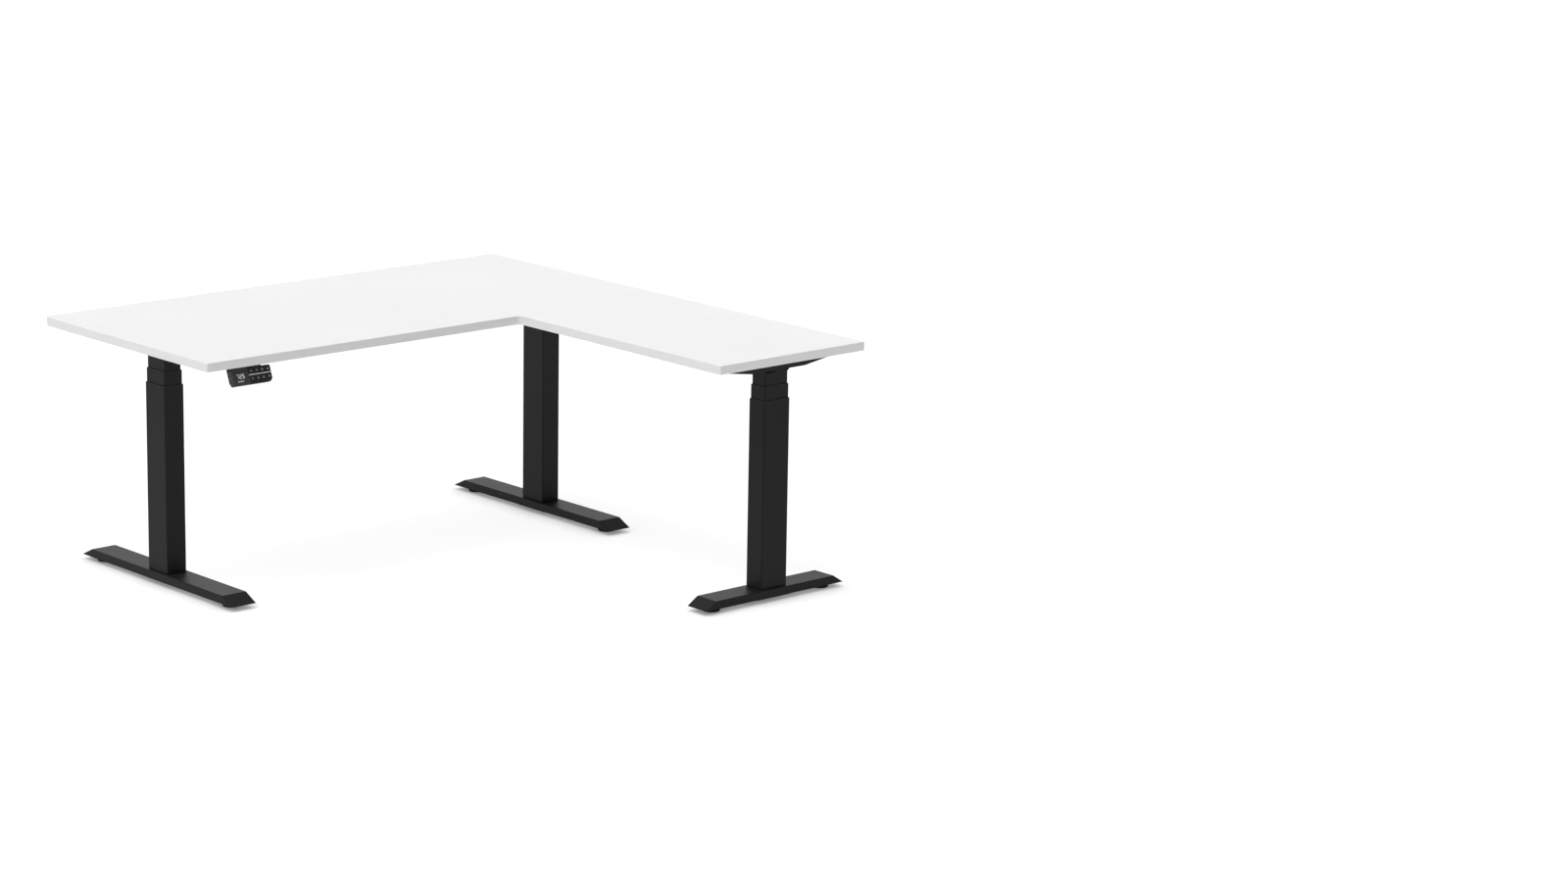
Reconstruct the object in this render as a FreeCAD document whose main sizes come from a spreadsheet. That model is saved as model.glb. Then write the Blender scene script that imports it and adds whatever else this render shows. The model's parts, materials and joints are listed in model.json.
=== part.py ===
import FreeCAD, Part

import os

import Sketcher

# Corner standing desk: an L-shaped top on three motorised telescopic columns.
# Frame: +Z up, floor at Z = 0, origin under the middle of the L's overall rectangle.
# The long front edge faces -Y, the return wing runs along Y on the +X side.
# Lengths are in millimetres and the desk stands at the height of top_height.
# A size given as text is worked out from others, so that fits follow when they change.

V = FreeCAD.Vector
Z_AXIS = V(0, 0, 1)

SIZES = (
    # the top
    ("desk_length", 1620, "overall length along X"),
    ("desk_return", 1680, "overall length of the return wing along Y"),
    ("main_depth", 810, "depth of the main wing"),
    ("return_width", 540, "width of the return wing"),
    ("top_height", 725, "height of the desk surface as it stands"),
    ("top_thickness", 25, "board thickness"),
    ("band_thickness", 2, "edge band thickness"),
    ("band_arris", 1, "rounding along the edge band"),
    ("outer_corner_radius", 4, "outer corners of the top"),
    ("rear_corner_radius", 20, "rear left corner of the top"),
    ("inner_corner_radius", 18, "inner corner of the top"),
    # where the columns stand
    ("left_leg_inset", 144, "left column from the left end"),
    ("corner_leg_inset", 118, "corner column from the right end"),
    ("main_leg_inset", 388, "left and corner columns from the back edge"),
    ("return_leg_inset_x", 260, "return column from the right end"),
    ("return_leg_inset_y", 108, "return column from the near end"),
    # feet
    ("foot_width", 82, "width of every foot"),
    ("foot_height", 23.5, "height of a foot beam"),
    ("foot_gap", 14, "clear height under a foot"),
    ("foot_wall", 3, "sheet thickness of a foot"),
    ("foot_fold", 2.5, "outside fold radius of a foot"),
    ("foot_end_low", "=2.5 * foot_wall", "lower edge of the channel from the tip"),
    ("foot_end_high", "=1.2 * foot_wall", "upper edge of the channel from the shoulder"),
    ("main_foot_length", 750, "left and corner feet, tip to tip"),
    ("main_foot_bevel", 49, "run of the sloped end of a main foot"),
    ("main_glide_inset", 62, "glide from the tip of a main foot"),
    ("return_foot_length", 520, "return foot, tip to tip"),
    ("return_foot_bevel", 37, "run of the sloped end of the return foot"),
    ("return_glide_inset", 54, "glide from the tip of the return foot"),
    ("plate_thickness", 4, "clamp plate under a foot"),
    ("plate_length", 130, "clamp plate along the foot"),
    ("plate_width", 66, "clamp plate across the foot"),
    # glides
    ("glide_radius", 25, "foot pad of a glide"),
    ("glide_height", 12, "height of the pad"),
    ("glide_skirt", 6.6, "height of the pad's wide part"),
    ("glide_step", 3, "step above the wide part"),
    ("stem_radius", 4, "threaded stem"),
    ("stem_length", 32, "top of the stem above the floor"),
    ("stem_end_gap", 1, "thread above the end of the stem"),
    ("insert_radius", "=stem_radius + 5", "threaded insert in the foot"),
    ("thread_clearance", 0.05, "radial clearance of the running threads"),
    # telescopic columns
    ("outer_width", 64, "outer tube across the foot"),
    ("outer_depth", 96, "outer tube along the foot"),
    ("tube_wall", 1.5, "wall of every tube"),
    ("stage_gap", 1, "gap between two nested tubes"),
    ("tube_radius", 3.5, "outside corner radius of every tube"),
    ("outer_length", 542.5, "outer tube with its ring"),
    ("middle_length", 537, "middle tube with its ring"),
    ("inner_length", 532, "inner tube"),
    ("stage_offset", 2, "middle ring above the half-way point"),
    ("base_plate", 8, "floor of the outer tube"),
    ("middle_plate", 6, "floor of the middle tube"),
    ("ring_lip", 2, "visible lip of a guide ring"),
    ("ring_sleeve", 38, "sleeve of a guide ring inside its tube"),
    ("slide_clearance", 0.3, "guide ring to sliding tube"),
    # telescopic spindle
    ("base_screw_radius", 6, "fixed screw"),
    ("base_screw_length", 349.5, "fixed screw above the floor plate"),
    ("screw_gap", 1, "radial gap round a screw away from its nut"),
    ("middle_screw_bore", "=base_screw_radius + screw_gap", "bore of the middle screw"),
    ("middle_screw_radius", "=middle_screw_bore + 3", "hollow middle screw"),
    ("middle_screw_length", 362, "middle screw"),
    ("sleeve_bore", "=middle_screw_radius + screw_gap", "bore of the drive sleeve"),
    ("sleeve_radius", "=sleeve_bore + 3", "drive sleeve"),
    ("sleeve_drop", 12, "lower end of the drive sleeve above the inner tube's end"),
    ("nut_length", 20, "threaded length of each nut"),
    ("sleeve_cap", 8, "closed end of the drive sleeve"),
    ("bearing_height", 15, "bearing housing height"),
    ("race_radius", "=middle_screw_radius + 5", "bearing collar on the middle screw"),
    ("bearing_radius", "=race_radius + 4", "bearing housing in the middle tube"),
    ("race_height", 6.6, "bearing collar height"),
    ("race_lift", 4.2, "bearing collar above the tube's end"),
    ("bearing_play", 0.2, "play round the bearing collar"),
    ("screw_hole_clearance", 0.5, "housing hole round the middle screw"),
    # motor and head
    ("gearbox_gap", 1.7, "gearbox inside the inner tube"),
    ("gearbox_radius", "=outer_width / 2 - 3 * tube_wall - 2 * stage_gap - gearbox_gap",
     "gearbox"),
    ("motor_radius", "=gearbox_radius - 1", "motor can"),
    ("gearbox_length", 69, "gearbox"),
    ("motor_length", 197, "motor with its gearbox"),
    ("motor_seat", 30, "depth of the motor's top in the head"),
    ("motor_fit", 0.1, "radial clearance of the motor in the head"),
    ("head_flange", 8, "flange of the head on the inner tube"),
    ("head_overhang", 4.5, "flange past the tube along the foot"),
    ("head_cover", 0.5, "flange past the tube across the foot"),
    ("head_chamfer", "=head_overhang - 0.1", "slope under the ends of the flange"),
    ("head_slot_length", 36, "cable slot in the flange"),
    ("head_slot_height", 5.5, "cable slot in the flange"),
    ("head_slot_depth", 6, "cable slot in the flange"),
    ("head_slot_offset", 4, "cable slot from the column's centre line"),
    ("head_slot_drop", 1, "cable slot under the side bracket"),
    # side brackets and rails
    ("bracket_length", 480, "side bracket"),
    ("bracket_width", "=outer_width + 6", "side bracket"),
    ("bracket_depth", 34, "side bracket at the column"),
    ("bracket_tip_depth", 13, "side bracket at its ends"),
    ("bracket_flat", 200, "full-depth length of a side bracket"),
    ("bracket_wall", 2.5, "sheet thickness of a side bracket"),
    ("bracket_play", 0.5, "head inside the side bracket"),
    ("head_length", 84, "head block along the bracket"),
    ("rail_width", 20, "crossbar"),
    ("rail_height", 30, "crossbar"),
    ("rail_wall", 1.5, "crossbar"),
    ("rail_offset", 36, "crossbar from the column's centre line"),
    ("end_plate", 3, "end plate of a crossbar"),
    ("end_plate_inner", 7, "end plate edge from the column's centre line"),
    ("rail_bolt_offset", 16, "crossbar bolt from the column's centre line"),
    ("rail_bolt_radius", 3, "crossbar bolt"),
    ("rail_bolt_head", "=rail_bolt_radius + 2.5", "crossbar bolt head radius"),
    ("rail_bolt_grip", 15, "crossbar bolt length under its head"),
    # fasteners of the top and feet
    ("wood_screw_radius", 2.25, "screws into the top"),
    ("wood_screw_depth", 17, "pilot hole in the top"),
    ("wood_screw_tip_gap", 1, "pilot hole past the screw's tip"),
    ("wood_screw_head", "=wood_screw_radius + 2.55", "screw head radius"),
    ("wood_screw_head_height", 2.6, "screw head height"),
    ("screw_inset", 22, "screws from the bracket's ends and centre line"),
    ("screw_middle", 130, "inner screws from the column's centre line"),
    ("foot_bolt_radius", 4, "foot bolts"),
    ("foot_bolt_head", "=foot_bolt_radius + 2.5", "foot bolt head radius"),
    ("foot_bolt_head_height", 4.5, "foot bolt head height"),
    ("foot_bolt_x", 18, "foot bolts across the foot"),
    ("foot_bolt_y", 34, "foot bolts along the foot"),
    # control box
    ("box_length", 250, "control box along X"),
    ("box_depth", 110, "control box along Y"),
    ("box_height", 42, "control box"),
    ("box_x", 30, "control box from the middle of the left and corner columns"),
    ("box_gap", 40, "control box behind the rear crossbar"),
    ("box_wall", 2, "control box shell"),
    ("box_round", 5, "control box corners"),
    ("tab_length", 14, "screw tabs of the control box"),
    ("tab_thickness", 3, "screw tabs of the control box"),
    ("tab_inset", 25, "tab screws from the box's long sides"),
    ("tab_end", 10, "tabs from the box's long sides"),
    ("tab_root", 1, "tabs run into the box's wall"),
    ("socket_width", 14, "motor sockets"),
    ("socket_height", 10, "motor sockets"),
    ("socket_pitch", 20, "motor sockets"),
    ("socket_first", 30, "middle of the first socket from the box's end"),
    ("inlet_width", 27, "mains inlet"),
    ("inlet_height", 20, "mains inlet"),
    ("inlet_inset", 35, "middle of the mains inlet from the box's end"),
    # handset
    ("handset_inset", 146, "middle of the handset from the left end"),
    ("handset_width", 130, "handset face"),
    ("handset_face_height", 47, "handset face"),
    ("handset_thickness", 16, "handset from face to back"),
    ("handset_tilt", 21, "lean of the face, in degrees from upright"),
    ("handset_drop", 48.9, "lower edge of the face under the top"),
    ("handset_proud", 6.8, "lower edge of the face in front of the top"),
    ("face_thickness", 2, "front panel of the handset"),
    ("face_chamfer", 8, "lower right corner of the face"),
    ("face_corner", 3, "other corners of the face"),
    ("case_wall", 2, "handset case"),
    ("case_round", 2.5, "handset case back edges"),
    ("display_left", 5, "display from the face's left edge"),
    ("display_margin", 5, "display from the top and bottom of the face"),
    ("display_right", 53, "display's right edge from the face's left edge"),
    ("display_lean", 4, "lean of the display's right edge"),
    ("board_thickness", 1.6, "circuit board"),
    ("board_margin", 1, "circuit board inside the case"),
    ("board_depth", 4.3, "circuit board behind the face"),
    ("key_width", 13, "key"),
    ("key_height", 10, "key"),
    ("key_thickness", 5.7, "key with its stem, from the face to just above the board"),
    ("key_gap", 0.3, "key in its opening"),
    ("key_first", 66, "middle of the first column from the face's left edge"),
    ("key_pitch", 18.3, "column to column"),
    ("key_low_row", 15, "lower row above the face's lower edge"),
    ("key_row_pitch", 21.5, "row to row"),
    ("clip_width", 112, "handset bracket"),
    ("clip_offset", 9, "middle of the bracket to the left of the handset's"),
    ("clip_thickness", 2.5, "handset bracket"),
    ("clip_length", 55, "handset bracket under the top"),
    ("clip_start", 26, "handset bracket behind the front edge"),
    ("clip_screw", 40, "handset bracket screws from its middle"),
    ("clip_screw_reach", 38, "handset bracket screws from its front edge"),
    ("clip_leg_low", 9, "lower end of the bracket's leg above the face's lower edge"),
    ("clip_top_gap", 1, "end of the bracket's leg under the top"),
    # cutting
    ("overcut", 1, "how far a cut runs past the surface that it starts from"),
)

# Places worked out from the sizes.
TOP_UNDER = "(dims.top_height - dims.top_thickness)"
LEFT_END = "(-dims.desk_length / 2)"
RIGHT_END = "(dims.desk_length / 2)"
NEAR_END = "(-dims.desk_return / 2)"
BACK_EDGE = "(dims.desk_return / 2)"
FRONT_EDGE = "(dims.desk_return / 2 - dims.main_depth)"
INNER_EDGE = "(dims.desk_length / 2 - dims.return_width)"
FOOT_TOP = "(dims.foot_gap + dims.foot_height)"
OUTER_TOP = f"({FOOT_TOP} + dims.outer_length)"
BRACKET_UNDER = f"({TOP_UNDER} - dims.bracket_depth)"
HEAD_BOTTOM = f"({BRACKET_UNDER} - dims.head_flange)"
MIDDLE_TOP = f"(({OUTER_TOP} + {HEAD_BOTTOM}) / 2 + dims.stage_offset)"
MIDDLE_BOTTOM = f"({MIDDLE_TOP} - dims.middle_length)"
INNER_BOTTOM = f"({HEAD_BOTTOM} - dims.inner_length)"
SLEEVE_BOTTOM = f"({INNER_BOTTOM} + dims.sleeve_drop)"
MIDDLE_SCREW_TOP = f"({MIDDLE_BOTTOM} + dims.middle_screw_length)"
SLEEVE_TOP = f"({HEAD_BOTTOM} + dims.motor_seat - dims.motor_length)"
STAGE_STEP = "(2 * (dims.tube_wall + dims.stage_gap))"
MIDDLE_WIDTH = f"(dims.outer_width - {STAGE_STEP})"
MIDDLE_DEPTH = f"(dims.outer_depth - {STAGE_STEP})"
INNER_WIDTH = f"({MIDDLE_WIDTH} - {STAGE_STEP})"
INNER_DEPTH = f"({MIDDLE_DEPTH} - {STAGE_STEP})"
RAIL_TOP = f"({TOP_UNDER} - dims.bracket_wall)"
BLOCK_WIDTH = "(dims.bracket_width - 2 * dims.bracket_wall - 2 * dims.bracket_play)"

doc = FreeCAD.newDocument("corner_standing_desk")
dims = doc.addObject("Spreadsheet::Sheet", "dims")
for row, (alias, value, note) in enumerate(SIZES, start=1):
    dims.set(f"A{row}", note)
    dims.set(f"B{row}", str(value))
    dims.setAlias(f"B{row}", alias)
doc.recompute()

SUB_PARTS = []


def number(expression):
    """The value of an expression on the sheet."""
    return float(dims.evalExpression(str(expression)))


# ---------------------------------------------------------------- drawing helpers

def keep(obj, name):
    """Name a finished sub-part and put it on the export list."""
    obj.Label = name
    SUB_PARTS.append(obj)
    return obj


def place(obj, where, turn=0.0, axis=Z_AXIS):
    """Turn an object, then bind its origin to three expressions."""
    obj.Placement = FreeCAD.Placement(V(), FreeCAD.Rotation(axis, turn))
    for letter, expression in zip("xyz", where):
        obj.setExpression(f"Placement.Base.{letter}", str(expression))


def new_body(name, where=("0", "0", "0"), turn=0.0):
    body = doc.addObject("PartDesign::Body", name)
    place(body, where, turn)
    return keep(body, name)


def new_sketch(body, role, offset="0"):
    """A sketch on one of the body's origin planes, moved along its normal."""
    sketch = body.newObject("Sketcher::SketchObject", "sketch")
    base = [item for item in body.Origin.OriginFeatures if item.Role == role][0]
    sketch.AttachmentSupport = [(base, "")]
    sketch.MapMode = "FlatFace"
    sketch.setExpression("AttachmentOffset.Base.z", str(offset))
    return sketch


def bind(sketch, constraint, expression):
    index = sketch.addConstraint(constraint)
    sketch.setExpression(f"Constraints[{index}]", str(expression))


def polygon(sketch, points):
    """A closed outline whose corners are pairs of expressions."""
    first = sketch.GeometryCount
    count = len(points)
    corners = [V(number(x), number(y), 0) for x, y in points]
    for i in range(count):
        sketch.addGeometry(Part.LineSegment(corners[i], corners[(i + 1) % count]), False)
    for i in range(count):
        follower = first + (i + 1) % count
        sketch.addConstraint(Sketcher.Constraint("Coincident", first + i, 2, follower, 1))
    for i, (x, y) in enumerate(points):
        bind(sketch, Sketcher.Constraint("DistanceX", -1, 1, first + i, 1, corners[i].x), x)
        bind(sketch, Sketcher.Constraint("DistanceY", -1, 1, first + i, 1, corners[i].y), y)


def rectangle(sketch, x_low, x_high, y_low, y_high):
    polygon(sketch, ((x_low, y_low), (x_high, y_low), (x_high, y_high), (x_low, y_high)))


def centred(sketch, width, depth):
    rectangle(sketch, f"-({width}) / 2", f"({width}) / 2", f"-({depth}) / 2", f"({depth}) / 2")


def circles(sketch, centres, radius):
    for x, y in centres:
        index = sketch.GeometryCount
        middle = V(number(x), number(y), 0)
        sketch.addGeometry(Part.Circle(middle, Z_AXIS, number(radius)), False)
        bind(sketch, Sketcher.Constraint("DistanceX", -1, 1, index, 3, middle.x), x)
        bind(sketch, Sketcher.Constraint("DistanceY", -1, 1, index, 3, middle.y), y)
        bind(sketch, Sketcher.Constraint("Radius", index, number(radius)), radius)


def pad(body, sketch, length, side="One side"):
    feature = body.newObject("PartDesign::Pad", "pad")
    feature.Profile = sketch
    feature.SideType = side
    feature.setExpression("Length", str(length))
    return feature


def pocket(body, sketch, length, side="One side", reversed_cut=False):
    """Cut a pocket and make sure that it took material away."""
    doc.recompute()
    before = body.Shape.Volume
    feature = body.newObject("PartDesign::Pocket", "pocket")
    feature.Profile = sketch
    feature.SideType = side
    feature.Reversed = reversed_cut
    feature.setExpression("Length", str(length))
    doc.recompute()
    if body.Shape.Volume > before - 0.01:
        raise RuntimeError(f"a pocket in {body.Label} cuts nothing")
    return feature


def dress(body, kind, size, wanted):
    """Fillet or chamfer the edges that pass a test."""
    doc.recompute()
    base = body.Tip
    names = [f"Edge{i}" for i, edge in enumerate(base.Shape.Edges, start=1) if wanted(edge)]
    feature = body.newObject(f"PartDesign::{kind}", kind.lower())
    feature.Base = (base, names)
    feature.setExpression("Radius" if kind == "Fillet" else "Size", str(size))
    return feature


def runs_along(edge, axis):
    """True for a straight edge along the given axis."""
    if edge.Curve.TypeId != "Part::GeomLine":
        return False
    return abs(abs(edge.tangentAt(edge.FirstParameter).dot(axis)) - 1) < 1e-6


def upright(edge):
    return runs_along(edge, Z_AXIS)


def prism(body, width, depth, low, high, radius=None):
    """A block about the body's own axis, with rounded upright edges if asked."""
    sketch = new_sketch(body, "XY_Plane", low)
    centred(sketch, width, depth)
    pad(body, sketch, f"({high}) - ({low})")
    if radius:
        dress(body, "Fillet", radius, upright)


def hollow(body, width, depth, top, floor, radius):
    """A pocket from the top down to a floor, with rounded upright corners."""
    sketch = new_sketch(body, "XY_Plane", top)
    centred(sketch, width, depth)
    pocket(body, sketch, f"({top}) - ({floor})")
    half_width = number(width) / 2 + 0.01
    half_depth = number(depth) / 2 + 0.01

    def inside(edge):
        spot = edge.CenterOfMass
        return upright(edge) and abs(spot.x) < half_width and abs(spot.y) < half_depth

    dress(body, "Fillet", radius, inside)


def cylinder(name, radius, low, high, where=("0", "0")):
    """An upright Part cylinder between two heights."""
    obj = doc.addObject("Part::Cylinder", name)
    obj.setExpression("Radius", str(radius))
    obj.setExpression("Height", f"({high}) - ({low})")
    place(obj, (where[0], where[1], low))
    return obj


def stacked(name, steps, bores=(), where=("0", "0")):
    """Coaxial cylinders joined, less coaxial bores; each step is radius, low, high."""
    solid = [cylinder(f"{name}_step", *step, where) for step in steps]
    body = solid[0]
    if len(solid) > 1:
        body = doc.addObject("Part::MultiFuse", f"{name}_solid")
        body.Shapes = solid
        body.Refine = True
    for bore in bores:
        cut = doc.addObject("Part::Cut", f"{name}_cut")
        cut.Base = body
        cut.Tool = cylinder(f"{name}_bore", *bore, where)
        body = cut
    return body


def block(name, x_low, x_high, y_low, y_high, z_low, z_high):
    """A Part box between six expressions."""
    obj = doc.addObject("Part::Box", name)
    obj.setExpression("Length", f"({x_high}) - ({x_low})")
    obj.setExpression("Width", f"({y_high}) - ({y_low})")
    obj.setExpression("Height", f"({z_high}) - ({z_low})")
    place(obj, (x_low, y_low, z_low))
    return obj


def group(name, shapes):
    """Identical loose pieces that share one node."""
    obj = doc.addObject("Part::Feature", name)
    obj.Shape = Part.makeCompound(shapes)
    return keep(obj, name)


def bundle(name, objects):
    """Like pieces made as separate objects that share one node."""
    for obj in objects:
        SUB_PARTS.remove(obj)
    compound = doc.addObject("Part::Compound", name)
    compound.Links = objects
    return keep(compound, name)


# ---------------------------------------------------------------- the three columns

class Leg:
    """Where a column stands, how its foot is turned and how long that foot is."""

    def __init__(self, name, centre_x, centre_y, turn, foot, rail_side):
        self.name = name
        self.rail_side = rail_side
        self.x = centre_x
        self.y = centre_y
        self.turn = turn
        self.foot_half = f"(dims.{foot}_foot_length / 2)"
        self.bevel = f"dims.{foot}_foot_bevel"
        self.glide = f"(dims.{foot}_foot_length / 2 - dims.{foot}_glide_inset)"

    def origin(self, height="0"):
        return (self.x, self.y, height)

    def world(self, across, along):
        """A point given across and along the foot, as world X and Y expressions."""
        if self.turn:
            return (f"{self.x} + ({along})", f"{self.y} - ({across})")
        return (f"{self.x} + ({across})", f"{self.y} + ({along})")

    def spot(self, across, along, height):
        """The same point as numbers."""
        x, y = self.world(across, along)
        return V(number(x), number(y), number(height))


MAIN_Y = f"({BACK_EDGE} - dims.main_leg_inset)"
LEFT = Leg("left", f"({LEFT_END} + dims.left_leg_inset)", MAIN_Y, 0, "main", 1)
CORNER = Leg("corner", f"({RIGHT_END} - dims.corner_leg_inset)", MAIN_Y, 0, "main", -1)
RETURN = Leg("return", f"({RIGHT_END} - dims.return_leg_inset_x)",
             f"({NEAR_END} + dims.return_leg_inset_y)", -90, "return", -1)
LEGS = (LEFT, CORNER, RETURN)
BOLT_SPOTS = [(f"{i} * dims.foot_bolt_x", f"{j} * dims.foot_bolt_y")
              for i in (-1, 1) for j in (-1, 1)]
RAIL_BOLT_Z = f"({RAIL_TOP} - dims.rail_height / 2)"
RAIL_BOLT_SPOTS = [(f"{i} * dims.rail_bolt_offset", RAIL_BOLT_Z) for i in (-1, 1)]
SCREW_ENDS = "(dims.bracket_length / 2 - dims.screw_inset)"
TOP_SCREW_SPOTS = [(f"{i} * dims.screw_inset", f"{j} * {SCREW_ENDS}")
                   for i in (-1, 1) for j in (-1, 1)]
TOP_SCREW_SPOTS += [(f"{i} * dims.screw_inset", f"{-i} * dims.screw_middle") for i in (-1, 1)]


def foot(leg):
    """Folded steel beam, open underneath, with sloped ends and two threaded inserts."""
    body = new_body(f"foot_{leg.name}", leg.origin(), leg.turn)
    low, high, wall = "dims.foot_gap", FOOT_TOP, "dims.foot_wall"
    sketch = new_sketch(body, "YZ_Plane")
    shoulder = f"({leg.foot_half} - {leg.bevel})"
    polygon(sketch, ((f"-{leg.foot_half}", low), (leg.foot_half, low),
                     (shoulder, high), (f"-{shoulder}", high)))
    pad(body, sketch, "dims.foot_width", "Symmetric")
    top_height = number(high)

    def long_fold(edge):
        return edge.CenterOfMass.z > number(low) + 1 and abs(edge.CenterOfMass.x) > 1 \
            and edge.BoundBox.XLength < 1 and edge.CenterOfMass.z <= top_height + 0.1

    dress(body, "Fillet", "dims.foot_fold", long_fold)
    inner_low = f"({leg.foot_half} - dims.foot_end_low)"
    inner_high = f"({shoulder} - dims.foot_end_high)"
    channel = new_sketch(body, "YZ_Plane")
    polygon(channel, ((f"-{inner_low}", low), (inner_low, low),
                      (inner_high, f"{high} - {wall}"), (f"-{inner_high}", f"{high} - {wall}")))
    pocket(body, channel, f"dims.foot_width - 2 * {wall}", "Symmetric")
    inserts = new_sketch(body, "XY_Plane", low)
    circles(inserts, (("0", leg.glide), ("0", f"-{leg.glide}")), "dims.insert_radius")
    pad(body, inserts, f"dims.foot_height - {wall} / 2")
    stems = new_sketch(body, "XY_Plane", low)
    stem_bore = "dims.stem_radius + dims.thread_clearance"
    circles(stems, (("0", leg.glide), ("0", f"-{leg.glide}")), stem_bore)
    pocket(body, stems, "dims.stem_length - dims.foot_gap + dims.stem_end_gap", reversed_cut=True)
    bosses = new_sketch(body, "XY_Plane", low)
    circles(bosses, BOLT_SPOTS, "dims.foot_bolt_head")
    pad(body, bosses, f"dims.foot_height - {wall} / 2")
    bolts = new_sketch(body, "XY_Plane", FOOT_TOP)
    circles(bolts, BOLT_SPOTS, "dims.foot_bolt_radius")
    pocket(body, bolts, "dims.foot_height")
    return body


def glide(leg, side, name):
    """Levelling glide: a moulded pad on a threaded stem."""
    where = leg.world("0", f"{side} * {leg.glide}")
    body = stacked(name, (("dims.glide_radius", "0", "dims.glide_skirt"),
                          ("dims.glide_radius - dims.glide_step", "0", "dims.glide_height"),
                          ("dims.stem_radius", "dims.glide_height", "dims.stem_length")),
                   where=where)
    return keep(body, name)


def outer_tube(leg):
    """Lowest tube of a column, closed by the plate that the foot bolts hold."""
    body = new_body(f"outer_tube_{leg.name}", leg.origin(), leg.turn)
    top = f"({OUTER_TOP} - dims.ring_lip)"
    prism(body, "dims.outer_width", "dims.outer_depth", FOOT_TOP, top, "dims.tube_radius")
    doc.recompute()
    hollow(body, "dims.outer_width - 2 * dims.tube_wall", "dims.outer_depth - 2 * dims.tube_wall",
           top, f"{FOOT_TOP} + dims.base_plate", "dims.tube_radius - dims.tube_wall")
    bores = new_sketch(body, "XY_Plane", FOOT_TOP)
    circles(bores, BOLT_SPOTS, "dims.foot_bolt_radius")
    pocket(body, bores, "dims.base_plate", reversed_cut=True)
    return body


def middle_tube(leg):
    """Second tube, with a plate and a bearing housing for the middle screw."""
    body = new_body(f"middle_tube_{leg.name}", leg.origin(), leg.turn)
    top = f"({MIDDLE_TOP} - dims.ring_lip)"
    prism(body, MIDDLE_WIDTH, MIDDLE_DEPTH, MIDDLE_BOTTOM, top, "dims.tube_radius")
    doc.recompute()
    hollow(body, f"{MIDDLE_WIDTH} - 2 * dims.tube_wall", f"{MIDDLE_DEPTH} - 2 * dims.tube_wall",
           top, f"{MIDDLE_BOTTOM} + dims.middle_plate", "dims.tube_radius - dims.tube_wall")
    housing = new_sketch(body, "XY_Plane", MIDDLE_BOTTOM)
    circles(housing, (("0", "0"),), "dims.bearing_radius")
    pad(body, housing, "dims.bearing_height")
    bore = new_sketch(body, "XY_Plane", MIDDLE_BOTTOM)
    circles(bore, (("0", "0"),), "dims.middle_screw_radius + dims.screw_hole_clearance")
    pocket(body, bore, "dims.bearing_height", reversed_cut=True)
    seat = new_sketch(body, "XY_Plane", f"{MIDDLE_BOTTOM} + dims.race_lift - dims.bearing_play")
    circles(seat, (("0", "0"),), "dims.race_radius + dims.bearing_play")
    pocket(body, seat, "dims.race_height + 2 * dims.bearing_play", reversed_cut=True)
    return body


def inner_tube(leg):
    """Thinnest tube, open at both ends, hanging from the head."""
    body = new_body(f"inner_tube_{leg.name}", leg.origin(), leg.turn)
    prism(body, INNER_WIDTH, INNER_DEPTH, INNER_BOTTOM, HEAD_BOTTOM, "dims.tube_radius")
    doc.recompute()
    hollow(body, f"{INNER_WIDTH} - 2 * dims.tube_wall", f"{INNER_DEPTH} - 2 * dims.tube_wall",
           HEAD_BOTTOM, INNER_BOTTOM, "dims.tube_radius - dims.tube_wall")
    return body


def guide_ring(name, leg, top, tube_width, tube_depth, slide_width, slide_depth):
    """Plastic ring with a visible lip and a sleeve inside the tube's mouth."""
    body = new_body(name, leg.origin(), leg.turn)
    lip_low = f"({top} - dims.ring_lip)"
    play = "2 * dims.slide_clearance"
    prism(body, tube_width, tube_depth, lip_low, top, "dims.tube_radius")
    doc.recompute()
    low = f"({lip_low} - dims.ring_sleeve)"
    sleeve = new_sketch(body, "XY_Plane", low)
    centred(sleeve, f"{tube_width} - 2 * dims.tube_wall", f"{tube_depth} - 2 * dims.tube_wall")
    pad(body, sleeve, f"{lip_low} - {low}")

    def sleeve_corner(edge):
        return upright(edge) and edge.CenterOfMass.z < number(lip_low)

    dress(body, "Fillet", "dims.tube_radius - dims.tube_wall", sleeve_corner)
    doc.recompute()
    hollow(body, f"{slide_width} + {play}", f"{slide_depth} + {play}", top, low,
           "dims.tube_radius + dims.slide_clearance")
    return body


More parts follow.
